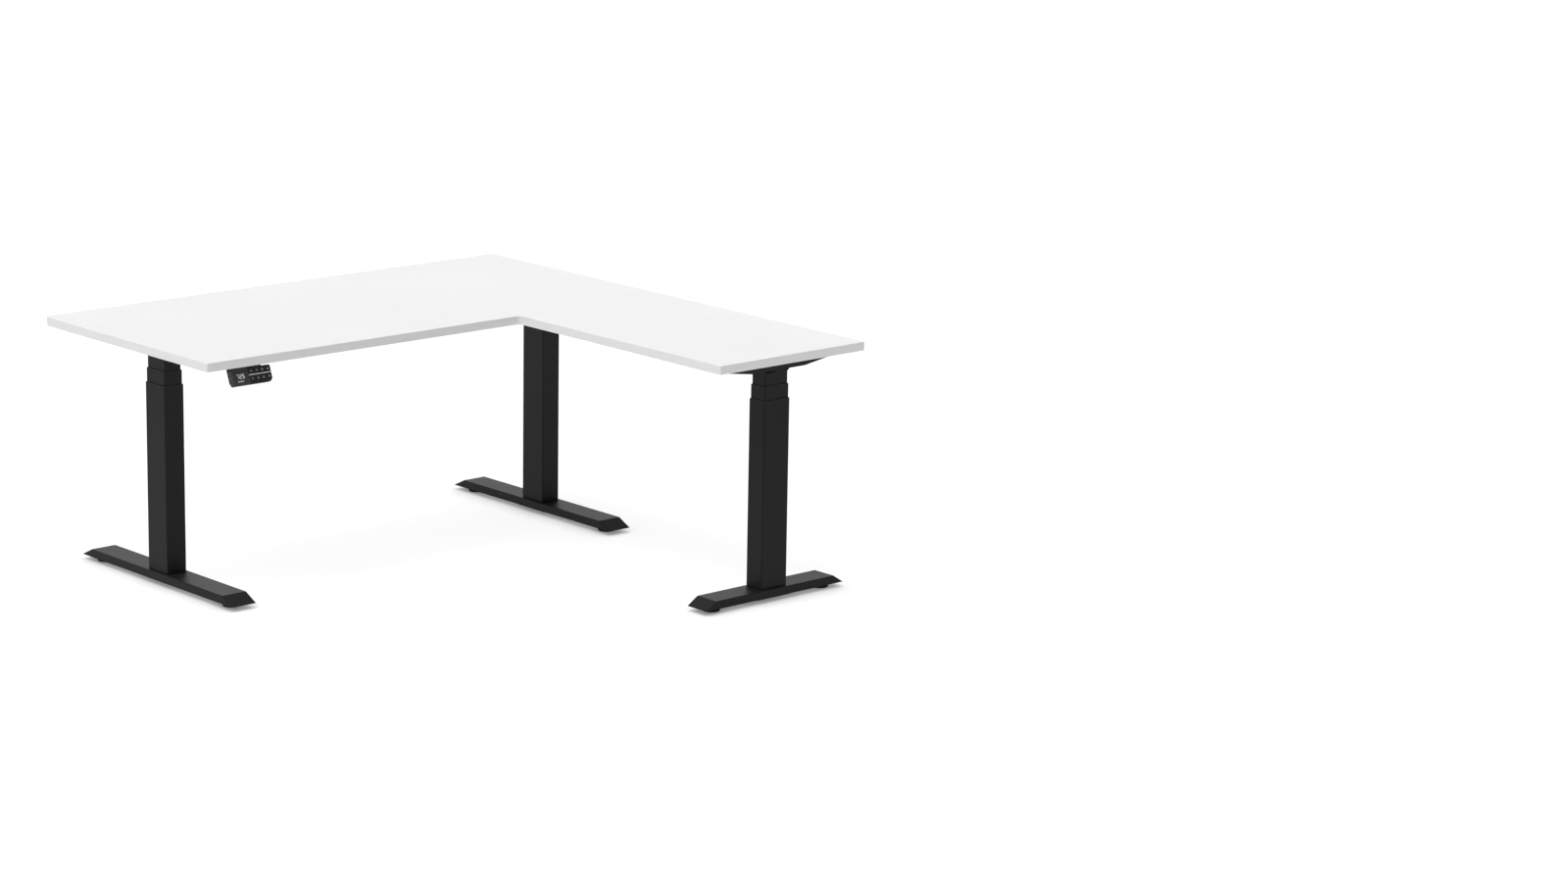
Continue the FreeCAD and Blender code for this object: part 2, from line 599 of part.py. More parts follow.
def head(leg):
    """Cast head: a flange on the inner tube and a block inside the side bracket."""
    body = new_body(f"head_{leg.name}", leg.origin(), leg.turn)
    flange_depth = f"({INNER_DEPTH} + 2 * dims.head_overhang)"
    prism(body, f"{INNER_WIDTH} + 2 * dims.head_cover", flange_depth, HEAD_BOTTOM, BRACKET_UNDER)
    ends = number(flange_depth) / 2 - 0.01

    def lower_end(edge):
        spot = edge.CenterOfMass
        return abs(spot.y) > ends and spot.z < number(HEAD_BOTTOM) + 0.01

    dress(body, "Chamfer", "dims.head_chamfer", lower_end)
    upper = new_sketch(body, "XY_Plane", BRACKET_UNDER)
    centred(upper, BLOCK_WIDTH, "dims.head_length")
    pad(body, upper, f"{RAIL_TOP} - {BRACKET_UNDER}")
    bore = new_sketch(body, "XY_Plane", HEAD_BOTTOM)
    circles(bore, (("0", "0"),), "dims.motor_radius + dims.motor_fit")
    pocket(body, bore, "dims.motor_seat", reversed_cut=True)
    slot = new_sketch(body, "YZ_Plane", f"{INNER_WIDTH} / 2 + dims.head_cover")
    slot_top = f"({BRACKET_UNDER} - dims.head_slot_drop)"
    rectangle(slot, "-dims.head_slot_offset - dims.head_slot_length", "-dims.head_slot_offset",
              f"{slot_top} - dims.head_slot_height", slot_top)
    pocket(body, slot, "dims.head_slot_depth")
    threads = new_sketch(body, "YZ_Plane", f"{leg.rail_side} * {BLOCK_WIDTH} / 2")
    circles(threads, RAIL_BOLT_SPOTS, "dims.rail_bolt_radius")
    thread_depth = "dims.rail_bolt_grip - dims.end_plate - dims.bracket_wall - dims.bracket_play"
    pocket(body, threads, thread_depth, reversed_cut=leg.rail_side < 0)
    return body


def motor(leg):
    """In-line motor and gearbox, hanging from the head inside the inner tube."""
    low = SLEEVE_TOP
    high = f"({HEAD_BOTTOM} + dims.motor_seat)"
    body = stacked(f"motor_{leg.name}",
                   (("dims.gearbox_radius", low, f"{low} + dims.gearbox_length"),
                    ("dims.motor_radius", low, high)), where=(leg.x, leg.y))
    return keep(body, f"motor_{leg.name}")


def base_screw_shape(leg):
    """Fixed screw that stands on the floor plate of the outer tube."""
    foot_of_screw = leg.spot("0", "0", f"{FOOT_TOP} + dims.base_plate")
    return Part.makeCylinder(number("dims.base_screw_radius"), number("dims.base_screw_length"),
                             foot_of_screw)


def middle_screw(leg):
    """Hollow screw: a nut on the fixed screw and a thread inside the drive sleeve."""
    name = f"middle_screw_{leg.name}"
    race_low = f"({MIDDLE_BOTTOM} + dims.race_lift)"
    steps = (("dims.middle_screw_radius", MIDDLE_BOTTOM, MIDDLE_SCREW_TOP),
             ("dims.race_radius", race_low, f"{race_low} + dims.race_height"))
    nut_top = f"({MIDDLE_BOTTOM} + dims.nut_length)"
    bores = (("dims.base_screw_radius + dims.thread_clearance", MIDDLE_BOTTOM, nut_top),
             ("dims.middle_screw_bore", nut_top, MIDDLE_SCREW_TOP))
    return keep(stacked(name, steps, bores, (leg.x, leg.y)), name)


def drive_sleeve(leg):
    """Tube that the motor turns, closed above and threaded at its lower end."""
    name = f"drive_sleeve_{leg.name}"
    nut_top = f"({SLEEVE_BOTTOM} + dims.nut_length)"
    bores = (("dims.middle_screw_radius + dims.thread_clearance", SLEEVE_BOTTOM, nut_top),
             ("dims.sleeve_bore", nut_top, f"{SLEEVE_TOP} - dims.sleeve_cap"))
    steps = (("dims.sleeve_radius", SLEEVE_BOTTOM, SLEEVE_TOP),)
    return keep(stacked(name, steps, bores, (leg.x, leg.y)), name)


def side_bracket(leg):
    """Folded channel under the top, open below, tapering towards both ends."""
    body = new_body(f"side_bracket_{leg.name}", leg.origin(), leg.turn)
    tip, flat = "dims.bracket_length / 2", "dims.bracket_flat / 2"
    tip_under = f"{TOP_UNDER} - dims.bracket_tip_depth"
    sketch = new_sketch(body, "YZ_Plane")
    polygon(sketch, ((f"-{tip}", tip_under), (f"-{flat}", BRACKET_UNDER), (flat, BRACKET_UNDER),
                     (tip, tip_under), (tip, TOP_UNDER), (f"-{tip}", TOP_UNDER)))
    pad(body, sketch, "dims.bracket_width", "Symmetric")
    channel = new_sketch(body, "XZ_Plane")
    half = "(dims.bracket_width / 2 - dims.bracket_wall)"
    rectangle(channel, f"-{half}", half, f"{BRACKET_UNDER} - dims.overcut", RAIL_TOP)
    pocket(body, channel, "dims.bracket_length + 2 * dims.overcut", "Symmetric")
    holes = new_sketch(body, "XY_Plane", TOP_UNDER)
    circles(holes, TOP_SCREW_SPOTS, "dims.wood_screw_radius")
    pocket(body, holes, "dims.bracket_wall + dims.overcut")
    wall = new_sketch(body, "YZ_Plane", f"{leg.rail_side} * dims.bracket_width / 2")
    circles(wall, RAIL_BOLT_SPOTS, "dims.rail_bolt_radius")
    pocket(body, wall, "dims.bracket_wall + dims.overcut", reversed_cut=leg.rail_side < 0)
    return body


# ---------------------------------------------------------------- crossbars

def rail(name, origin, turn, side, length, wall_holes=()):
    """Rectangular crossbar along its own X, with an end plate reaching inwards at each end."""
    body = new_body(name, origin, turn)
    height_low = f"({RAIL_TOP} - dims.rail_height)"
    near = f"{side} * (dims.rail_offset - dims.rail_width / 2)"
    far = f"{side} * (dims.rail_offset + dims.rail_width / 2)"
    wall = "dims.rail_wall"
    profile = new_sketch(body, "YZ_Plane")
    rectangle(profile, near, far, height_low, RAIL_TOP)
    pad(body, profile, length)
    inside = new_sketch(body, "YZ_Plane")
    rectangle(inside, f"{near} + {side} * {wall}", f"{far} - {side} * {wall}",
              f"{height_low} + {wall}", f"{RAIL_TOP} - {wall}")
    pocket(body, inside, length, reversed_cut=True)
    for start in ("0", f"{length} - dims.end_plate"):
        plate = new_sketch(body, "YZ_Plane", start)
        rectangle(plate, f"{side} * dims.end_plate_inner", far, height_low, RAIL_TOP)
        pad(body, plate, "dims.end_plate")
    bolts = new_sketch(body, "YZ_Plane")
    circles(bolts, ((f"{side} * dims.rail_bolt_offset", RAIL_BOLT_Z),), "dims.rail_bolt_radius")
    pocket(body, bolts, length, reversed_cut=True)
    if wall_holes:
        joint = new_sketch(body, "XZ_Plane", f"-({far})")
        circles(joint, [(x, RAIL_BOLT_Z) for x in wall_holes], "dims.rail_bolt_radius")
        pocket(body, joint, f"2 * {wall}", "Symmetric")
    return body


def crossbars():
    """Two crossbars along the main wing and two that join the return column to them."""
    half = "dims.bracket_width / 2"
    start_x = f"({LEFT.x} + {half})"
    main_length = f"({CORNER.x} - {LEFT.x} - dims.bracket_width)"
    front_face = f"({MAIN_Y} - dims.rail_offset - dims.rail_width / 2)"
    start_y = f"({RETURN.y} + {half})"
    return_length = f"({front_face} - {start_y})"
    holes = [f"{RETURN.x} - {start_x} + {i} * dims.rail_bolt_offset" for i in (-1, 1)]
    bundle("crossbars_main", [
        rail("rail_main_front", (start_x, MAIN_Y, "0"), 0, -1, main_length, holes),
        rail("rail_main_rear", (start_x, MAIN_Y, "0"), 0, 1, main_length)])
    bundle("crossbars_return", [
        rail("rail_return_inner", (RETURN.x, start_y, "0"), 90, 1, return_length),
        rail("rail_return_outer", (RETURN.x, start_y, "0"), 90, -1, return_length)])


# ---------------------------------------------------------------- the top

def outline(inset):
    """Corners of the L, moved inwards by an amount, anticlockwise from the front left."""
    left, right = f"{LEFT_END} + {inset}", f"{RIGHT_END} - {inset}"
    front, back = f"{FRONT_EDGE} + {inset}", f"{BACK_EDGE} - {inset}"
    inner, near = f"{INNER_EDGE} + {inset}", f"{NEAR_END} + {inset}"
    return ((left, front), (inner, front), (inner, near), (right, near), (right, back),
            (left, back))


def l_board(body, inset):
    """The L-shaped board, its sides moved inwards and its corners rounded to match."""
    sketch = new_sketch(body, "XY_Plane", TOP_UNDER)
    polygon(sketch, outline(inset))
    pad(body, sketch, "dims.top_thickness")
    outer_radius = f"dims.outer_corner_radius - {inset}"
    rear_radius = f"dims.rear_corner_radius - {inset}"
    inner_radius = f"dims.inner_corner_radius + {inset}"
    bend = V(number(f"{INNER_EDGE} + {inset}"), number(f"{FRONT_EDGE} + {inset}"), 0)
    rear = V(number(f"{LEFT_END} + {inset}"), number(f"{BACK_EDGE} - {inset}"), 0)

    def apart(edge, corner):
        spot = edge.CenterOfMass
        return abs(spot.x - corner.x) + abs(spot.y - corner.y)

    dress(body, "Fillet", inner_radius, lambda edge: upright(edge) and apart(edge, bend) < 0.1)
    dress(body, "Fillet", rear_radius, lambda edge: upright(edge) and apart(edge, rear) < 0.1)

    def outer_corner(edge):
        return (upright(edge) and apart(edge, bend) > number(inner_radius) + 1
                and apart(edge, rear) > number(rear_radius) + 1)

    dress(body, "Fillet", outer_radius, outer_corner)


def desktop():
    """Laminated board inside the edge band, with pilot holes for every screw below it."""
    body = new_body("desktop")
    l_board(body, "dims.band_thickness")
    spots = [leg.world(*spot) for leg in LEGS for spot in TOP_SCREW_SPOTS]
    holes = new_sketch(body, "XY_Plane", TOP_UNDER)
    circles(holes, spots + BOX_SCREWS + CLIP_SCREWS, "dims.wood_screw_radius")
    pocket(body, holes, "dims.wood_screw_depth", reversed_cut=True)
    return body


def edge_band():
    """Band glued round the board, flush with both faces, its outer edges rounded over."""
    whole = doc.addObject("PartDesign::Body", "edge_band_whole")
    l_board(whole, "0")

    def rim(edge):
        heights = (number("dims.top_height"), number(TOP_UNDER))
        return edge.BoundBox.ZLength < 0.01 and min(abs(edge.CenterOfMass.z - level)
                                                    for level in heights) < 0.01

    dress(whole, "Fillet", "dims.band_arris", rim)
    core = doc.addObject("PartDesign::Body", "edge_band_core")
    l_board(core, "dims.band_thickness")
    band = doc.addObject("Part::Cut", "edge_band")
    band.Base = whole
    band.Tool = core
    return keep(band, "edge_band")


# ---------------------------------------------------------------- control box

BOX_MIDDLE = f"(({LEFT.x} + {CORNER.x}) / 2 + dims.box_x)"
BOX_FRONT = f"({MAIN_Y} + dims.rail_offset + dims.rail_width / 2 + dims.box_gap)"
BOX_SCREWS = [(f"{BOX_MIDDLE} + {i} * (dims.box_length + dims.tab_length) / 2",
               f"{BOX_FRONT} + dims.box_depth / 2 + {j} * (dims.box_depth / 2 - dims.tab_inset)")
              for i in (-1, 1) for j in (-1, 1)]


def control_box():
    """Moulded housing of the power supply, with screw tabs, motor sockets and the inlet."""
    body = new_body("control_box", (BOX_MIDDLE, BOX_FRONT, TOP_UNDER))
    low = "-dims.box_height"
    shell = new_sketch(body, "XY_Plane", low)
    rectangle(shell, "-dims.box_length / 2", "dims.box_length / 2", "0", "dims.box_depth")
    pad(body, shell, "dims.box_height")

    def outside(edge):
        return upright(edge) or (edge.CenterOfMass.z < number(low) + 0.1)

    dress(body, "Fillet", "dims.box_round", outside)
    doc.recompute()
    cavity = new_sketch(body, "XY_Plane", f"{low} + dims.box_wall")
    wall = "dims.box_wall"
    rectangle(cavity, f"-dims.box_length / 2 + {wall}", f"dims.box_length / 2 - {wall}",
              wall, f"dims.box_depth - {wall}")
    pocket(body, cavity, f"dims.box_height - 2 * {wall}", reversed_cut=True)
    tabs = new_sketch(body, "XY_Plane", "-dims.tab_thickness")
    reach = "(dims.box_length / 2 + dims.tab_length)"
    root = "(dims.box_length / 2 - dims.tab_root)"
    rectangle(tabs, f"-{reach}", f"-{root}", "dims.tab_end", "dims.box_depth - dims.tab_end")
    rectangle(tabs, root, reach, "dims.tab_end", "dims.box_depth - dims.tab_end")
    pad(body, tabs, "dims.tab_thickness")
    holes = new_sketch(body, "XY_Plane")
    spots = [(f"({x}) - {BOX_MIDDLE}", f"({y}) - {BOX_FRONT}") for x, y in BOX_SCREWS]
    circles(holes, spots, "dims.wood_screw_radius")
    pocket(body, holes, "dims.tab_thickness")
    sockets = new_sketch(body, "XZ_Plane")
    middle = f"({low} / 2)"
    for i in range(4):
        centre = f"(-dims.box_length / 2 + dims.socket_first + {i} * dims.socket_pitch)"
        rectangle(sockets, f"{centre} - dims.socket_width / 2", f"{centre} + dims.socket_width / 2",
                  f"{middle} - dims.socket_height / 2", f"{middle} + dims.socket_height / 2")
    inlet = "(dims.box_length / 2 - dims.inlet_inset)"
    rectangle(sockets, f"{inlet} - dims.inlet_width / 2", f"{inlet} + dims.inlet_width / 2",
              f"{middle} - dims.inlet_height / 2", f"{middle} + dims.inlet_height / 2")
    pocket(body, sockets, f"2 * {wall} + dims.overcut", "Symmetric")
    return body


# ---------------------------------------------------------------- handset

HANDSET_X = f"({LEFT_END} + dims.handset_inset)"
HANDSET_ORIGIN = (HANDSET_X, f"({FRONT_EDGE} - dims.handset_proud)",
                  f"({TOP_UNDER} - dims.handset_drop)")
CLIP_FRONT = f"({FRONT_EDGE} + dims.clip_start)"
CLIP_X = f"({HANDSET_X} - dims.clip_offset)"
CLIP_SCREWS = [(f"{CLIP_X} + {i} * dims.clip_screw", f"{CLIP_FRONT} + dims.clip_screw_reach")
               for i in (-1, 1)]
# The bracket's leg follows the handset's back up to just under the top.
CLIP_RISE = ("((dims.handset_drop + dims.handset_thickness * sin(dims.handset_tilt)"
             " - dims.clip_top_gap) / cos(dims.handset_tilt))")
X_AXIS = V(1, 0, 0)
HALF_FACE = "(dims.handset_width / 2)"


def handset_body(name):
    """A body in the handset's frame: X along it, Z up its face, Y into the desk."""
    body = new_body(name)
    place(body, HANDSET_ORIGIN, -number("dims.handset_tilt"), X_AXIS)
    return body


def face_outline(sketch, inset="0"):
    """The handset's front outline: small cut corners and a larger one at lower right."""
    left, right = f"(-{HALF_FACE} + ({inset}))", f"({HALF_FACE} - ({inset}))"
    low, high = f"({inset})", f"(dims.handset_face_height - ({inset}))"
    cut, big = "dims.face_corner", "dims.face_chamfer"
    polygon(sketch, ((f"{left} + {cut}", low), (f"{right} - {big}", low),
                     (right, f"{low} + {big}"), (right, f"{high} - {cut}"),
                     (f"{right} - {cut}", high), (f"{left} + {cut}", high),
                     (left, f"{high} - {cut}"), (left, f"{low} + {cut}")))


def display_outline(sketch, gap="0"):
    """The display window, its right edge leaning like the key field beside it."""
    left = f"(-{HALF_FACE} + dims.display_left + {gap})"
    right = f"(-{HALF_FACE} + dims.display_right - {gap})"
    low = f"(dims.display_margin + {gap})"
    high = f"(dims.handset_face_height - dims.display_margin - {gap})"
    polygon(sketch, ((left, low), (f"{right} + dims.display_lean", low), (right, high),
                     (left, high)))


def key_centre(column, row):
    return (f"(-{HALF_FACE} + dims.key_first + {column} * dims.key_pitch)",
            f"(dims.key_low_row + {row} * dims.key_row_pitch)")


def key_box(sketch, column, row, gap):
    x, z = key_centre(column, row)
    half_width = f"(dims.key_width / 2 + {gap})"
    half_height = f"(dims.key_height / 2 + {gap})"
    rectangle(sketch, f"{x} - {half_width}", f"{x} + {half_width}",
              f"{z} - {half_height}", f"{z} + {half_height}")


KEYS = {
    "key_up": (0, 1), "key_down": (1, 1), "key_memory": (2, 1), "key_timer": (3, 1),
    "key_one": (0, 0), "key_two": (1, 0), "key_three": (2, 0), "key_four": (3, 0),
}


def handset():
    """Front panel, window, case, circuit board and eight keys."""
    thickness = "dims.face_thickness"
    face = handset_body("handset_face")
    front = new_sketch(face, "XZ_Plane", f"-{thickness}")
    face_outline(front)
    pad(face, front, thickness)
    openings = new_sketch(face, "XZ_Plane", f"-{thickness}")
    display_outline(openings)
    for column, row in KEYS.values():
        key_box(openings, column, row, "dims.key_gap")
    pocket(face, openings, thickness, reversed_cut=True)

    window = handset_body("handset_display")
    glass = new_sketch(window, "XZ_Plane", f"-{thickness}")
    display_outline(glass)
    pad(window, glass, thickness)

    case = handset_body("handset_case")
    depth = f"(dims.handset_thickness - {thickness})"
    rear = new_sketch(case, "XZ_Plane", "-dims.handset_thickness")
    face_outline(rear)
    pad(case, rear, depth)
    back = number("dims.handset_thickness")
    dress(case, "Fillet", "dims.case_round",
          lambda edge: edge.BoundBox.YLength < 0.01 and edge.CenterOfMass.y > back - 0.01)
    doc.recompute()
    cavity = new_sketch(case, "XZ_Plane", f"-{thickness}")
    face_outline(cavity, "dims.case_wall")
    pocket(case, cavity, f"{depth} - dims.case_wall")

    board = handset_body("handset_board")
    blank = new_sketch(board, "XZ_Plane", f"-{thickness} - dims.board_depth - dims.board_thickness")
    face_outline(blank, "dims.case_wall + dims.board_margin")
    pad(board, blank, "dims.board_thickness")

    for name, (column, row) in KEYS.items():
        key = handset_body(name)
        cap = new_sketch(key, "XZ_Plane", "-dims.key_thickness")
        key_box(cap, column, row, "0")
        pad(key, cap, "dims.key_thickness")


def handset_bracket():
    """Bent plate: a tab screwed under the top and a leg screwed to the handset's back."""
    reach = "dims.clip_width / 2"
    tab = block("clip_tab", f"{CLIP_X} - {reach}", f"{CLIP_X} + {reach}", CLIP_FRONT,
                f"{CLIP_FRONT} + dims.clip_length", f"{TOP_UNDER} - dims.clip_thickness", TOP_UNDER)
    leg = doc.addObject("PartDesign::Body", "clip_leg")
    place(leg, HANDSET_ORIGIN, -number("dims.handset_tilt"), X_AXIS)
    sheet = new_sketch(leg, "XZ_Plane", "-dims.handset_thickness - dims.clip_thickness")
    rectangle(sheet, f"-dims.clip_offset - {reach}", f"-dims.clip_offset + {reach}",
              "dims.clip_leg_low", CLIP_RISE)
    pad(leg, sheet, "dims.clip_thickness")
    joined = doc.addObject("Part::Fuse", "clip_solid")
    joined.Base = tab
    joined.Tool = leg
    cut = joined
    for x, y in CLIP_SCREWS:
        hole = cylinder("clip_hole", "dims.wood_screw_radius",
                        f"{TOP_UNDER} - dims.clip_thickness", TOP_UNDER, (x, y))
        drilled = doc.addObject("Part::Cut", "clip_drilled")
        drilled.Base = cut
        drilled.Tool = hole
        cut = drilled
    return keep(cut, "handset_bracket")


# ---------------------------------------------------------------- fasteners and other groups

def screw_up(spot, head_radius, head_height, shank_radius, shank_length):
    """A screw driven upwards: its head hangs below the given spot."""
    down = V(0, 0, -head_height)
    head_part = Part.makeCylinder(head_radius, head_height, spot + down)
    return head_part.fuse(Part.makeCylinder(shank_radius, shank_length, spot)).removeSplitter()


def top_screws():
    head_radius, head_height = number("dims.wood_screw_head"), number("dims.wood_screw_head_height")
    shank = number("dims.wood_screw_radius")
    reach = number("dims.wood_screw_depth - dims.wood_screw_tip_gap")
    spots = [(leg.spot(x, y, RAIL_TOP), "dims.bracket_wall")
             for leg in LEGS for x, y in TOP_SCREW_SPOTS]
    for pair, sheet in ((BOX_SCREWS, "dims.tab_thickness"), (CLIP_SCREWS, "dims.clip_thickness")):
        for x, y in pair:
            spots.append((V(number(x), number(y), number(f"{TOP_UNDER} - {sheet}")), sheet))
    group("top_screws", [screw_up(spot, head_radius, head_height, shank, number(sheet) + reach)
                         for spot, sheet in spots])


def foot_bolts():
    under = "dims.foot_gap - dims.plate_thickness"
    length = number(f"{FOOT_TOP} + dims.base_plate - ({under})")
    shapes = [screw_up(leg.spot(x, y, under), number("dims.foot_bolt_head"),
                       number("dims.foot_bolt_head_height"), number("dims.foot_bolt_radius"), length)
              for leg in LEGS for x, y in BOLT_SPOTS]
    group("foot_bolts", shapes)


def clamp_plates():
    """Stiffening plates under the feet, drilled for the foot bolts."""
    width, length = number("dims.plate_width"), number("dims.plate_length")
    thickness, gap = number("dims.plate_thickness"), number("dims.foot_gap")
    shapes = []
    for leg in LEGS:
        plate = Part.makeBox(width, length, thickness, V(-width / 2, -length / 2, gap - thickness))
        tall = [edge for edge in plate.Edges if upright(edge)]
        plate = plate.makeFillet(thickness, tall)
        for x, y in BOLT_SPOTS:
            corner = V(number(x), number(y), gap - thickness)
            plate = plate.cut(Part.makeCylinder(number("dims.foot_bolt_radius"), thickness, corner))
        plate.rotate(V(), Z_AXIS, leg.turn)
        plate.translate(leg.spot("0", "0", "0"))
        shapes.append(plate)
    group("clamp_plates", shapes)


def rail_bolts():
    """Button-head bolts that hold the crossbar end plates."""
    radius, head_radius = number("dims.rail_bolt_radius"), number("dims.rail_bolt_head")
    head_height, grip = number("dims.wood_screw_head_height"), number("dims.rail_bolt_grip")
    plate = number("dims.end_plate")
    half = number("dims.bracket_width / 2")
    height = number(RAIL_BOLT_Z)
    offset = number("dims.rail_bolt_offset")
    front = number(f"{MAIN_Y} - dims.rail_offset - dims.rail_width / 2")
    main_y, return_x = number(MAIN_Y), number(RETURN.x)
    ends = [(V(number(LEFT.x) + half + plate, main_y + i * offset, height), V(-1, 0, 0))
            for i in (-1, 1)]
    ends += [(V(number(CORNER.x) - half - plate, main_y + i * offset, height), V(1, 0, 0))
             for i in (-1, 1)]
    ends += [(V(return_x + i * offset, number(RETURN.y) + half + plate, height), V(0, -1, 0))
             for i in (-1, 1)]
    ends += [(V(return_x + i * offset, front - plate, height), V(0, 1, 0)) for i in (-1, 1)]
    shapes = []
    for spot, way in ends:
        shank = Part.makeCylinder(radius, grip, spot, way)
        cap = Part.makeCylinder(head_radius, head_height, spot, way * -1)
        shapes.append(shank.fuse(cap).removeSplitter())
    group("rail_bolts", shapes)


# ---------------------------------------------------------------- build and export

def column(leg):
    foot(leg)
    outer_tube(leg)
    middle_tube(leg)
    guide_ring(f"upper_ring_{leg.name}", leg, MIDDLE_TOP, MIDDLE_WIDTH, MIDDLE_DEPTH,
               INNER_WIDTH, INNER_DEPTH)
    inner_tube(leg)
    head(leg)
    motor(leg)
    middle_screw(leg)
    drive_sleeve(leg)
    side_bracket(leg)
    glide(leg, -1, f"glide_{leg.name}_near")
    glide(leg, 1, f"glide_{leg.name}_far")


def build():
    for leg in LEGS:
        column(leg)
    bundle("lower_rings", [guide_ring(f"lower_ring_{leg.name}", leg, OUTER_TOP, "dims.outer_width",
                                      "dims.outer_depth", MIDDLE_WIDTH, MIDDLE_DEPTH)
                           for leg in LEGS])
    group("base_screws", [base_screw_shape(leg) for leg in LEGS])
    clamp_plates()
    foot_bolts()
    crossbars()
    rail_bolts()
    desktop()
    edge_band()
    control_box()
    handset()
    handset_bracket()
    top_screws()


def check():
    """Stop if any object failed or any sub-part has no sound shape."""
    for obj in doc.Objects:
        if any(word in obj.State for word in ("Invalid", "Error")):
            raise RuntimeError(f"{obj.Name} ({obj.Label}) failed: {obj.State}")
    for obj in SUB_PARTS:
        shape = obj.Shape
        if shape.isNull() or not shape.isValid() or not shape.Solids:
            raise RuntimeError(f"{obj.Label} has no sound solid")


def export():
    os.makedirs("parts", exist_ok=True)
    for obj in SUB_PARTS:
        obj.Shape.exportStep(f"parts/{obj.Label}.step")
    print(len(SUB_PARTS), "sub-parts written")


build()
doc.recompute()
check()
export()
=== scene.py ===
import json
import math

import bmesh
import bpy
from mathutils import Matrix, Vector


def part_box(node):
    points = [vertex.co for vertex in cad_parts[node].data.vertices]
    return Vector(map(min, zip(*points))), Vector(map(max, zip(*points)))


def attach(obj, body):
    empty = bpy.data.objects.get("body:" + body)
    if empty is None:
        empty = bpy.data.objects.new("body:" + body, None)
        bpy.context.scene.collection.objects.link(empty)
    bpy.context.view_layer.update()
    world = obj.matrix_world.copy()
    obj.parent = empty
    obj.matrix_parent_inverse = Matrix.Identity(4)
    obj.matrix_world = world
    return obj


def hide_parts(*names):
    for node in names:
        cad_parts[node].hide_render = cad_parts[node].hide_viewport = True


bl_info = {
    "name": "Corner Standing Desk",
    "version": (1, 0, 0),
    "blender": (4, 5, 0),
    "location": "View3D > Sidebar > Standing Desk",
    "description": "Finishes and fittings for an L-shaped desk on three telescopic columns",
    "category": "Add Mesh",
}

MM = 0.001
LEGS = ("left", "corner", "return")
KEY_NAMES = ("up", "down", "memory", "timer", "one", "two", "three", "four")

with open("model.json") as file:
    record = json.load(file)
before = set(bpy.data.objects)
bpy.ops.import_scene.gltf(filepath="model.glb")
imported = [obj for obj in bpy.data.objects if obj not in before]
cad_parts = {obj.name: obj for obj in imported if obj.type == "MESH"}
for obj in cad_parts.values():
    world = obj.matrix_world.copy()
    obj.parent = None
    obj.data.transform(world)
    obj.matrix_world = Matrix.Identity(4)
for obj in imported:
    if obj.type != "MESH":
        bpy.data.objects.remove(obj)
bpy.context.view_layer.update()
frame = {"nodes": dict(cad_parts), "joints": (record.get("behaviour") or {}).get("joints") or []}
NODES = frame["nodes"]


def middle_of(node):
    low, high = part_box(node)
    return (low + high) / 2


# ---------------------------------------------------------------- settings


def tone(label, text, value):
    return bpy.props.FloatVectorProperty(name=label, description=text, subtype="COLOR", size=3,
                                         min=0.0, max=1.0, default=value)


def length(label, text, value):
    return bpy.props.FloatProperty(name=label, description=text, default=value, min=0.0,
                                   unit="LENGTH", precision=5)


def share(label, text, value):
    return bpy.props.FloatProperty(name=label, description=text, default=value, min=0.0, max=1.0,
                                   subtype="FACTOR")


class DeskFinish(bpy.types.PropertyGroup):
    """Colours and gloss of the desk's finishes."""

    laminate: tone("Laminate", "White laminate of the board", (0.775, 0.775, 0.771))
    band: tone("Edge band", "Plastic band round the board", (0.79, 0.79, 0.787))
    coat: tone("Powder coat", "Black paint of the frame", (0.0122, 0.0122, 0.0131))
    coat_worn: tone("Worn paint", "Paint where hands and shoes rub it", (0.045, 0.045, 0.047))
    nylon: tone("Nylon", "Guide rings and glides", (0.009, 0.009, 0.0095))
    zinc: tone("Black zinc", "Screws and bolts", (0.07, 0.07, 0.074))
    steel: tone("Steel", "Rolled screw threads", (0.52, 0.52, 0.53))
    motor: tone("Motor can", "Grey paint of the motors", (0.19, 0.19, 0.20))
    casing: tone("Casing", "Moulded control box and handset case", (0.018, 0.018, 0.0195))
    panel: tone("Panel", "Front panel of the handset", (0.021, 0.021, 0.022))
    window: tone("Window", "Smoked window over the digits", (0.058, 0.058, 0.06))
    printing: tone("Printing", "White marks on the handset", (0.82, 0.82, 0.82))
    segment: tone("Lit segment", "Digits of the handset", (0.62, 0.66, 0.7))
    segment_glow: share("Segment glow", "Glow of the lit digits", 0.75)
    tin: tone("Tinned pins", "Pins of the control box", (0.5, 0.49, 0.46))
    board: tone("Circuit board", "Green solder resist", (0.02, 0.13, 0.05))
    coat_gloss: share("Paint roughness", "Roughness of the powder coat", 0.5)
    laminate_gloss: share("Laminate roughness", "Roughness of the laminate", 0.42)


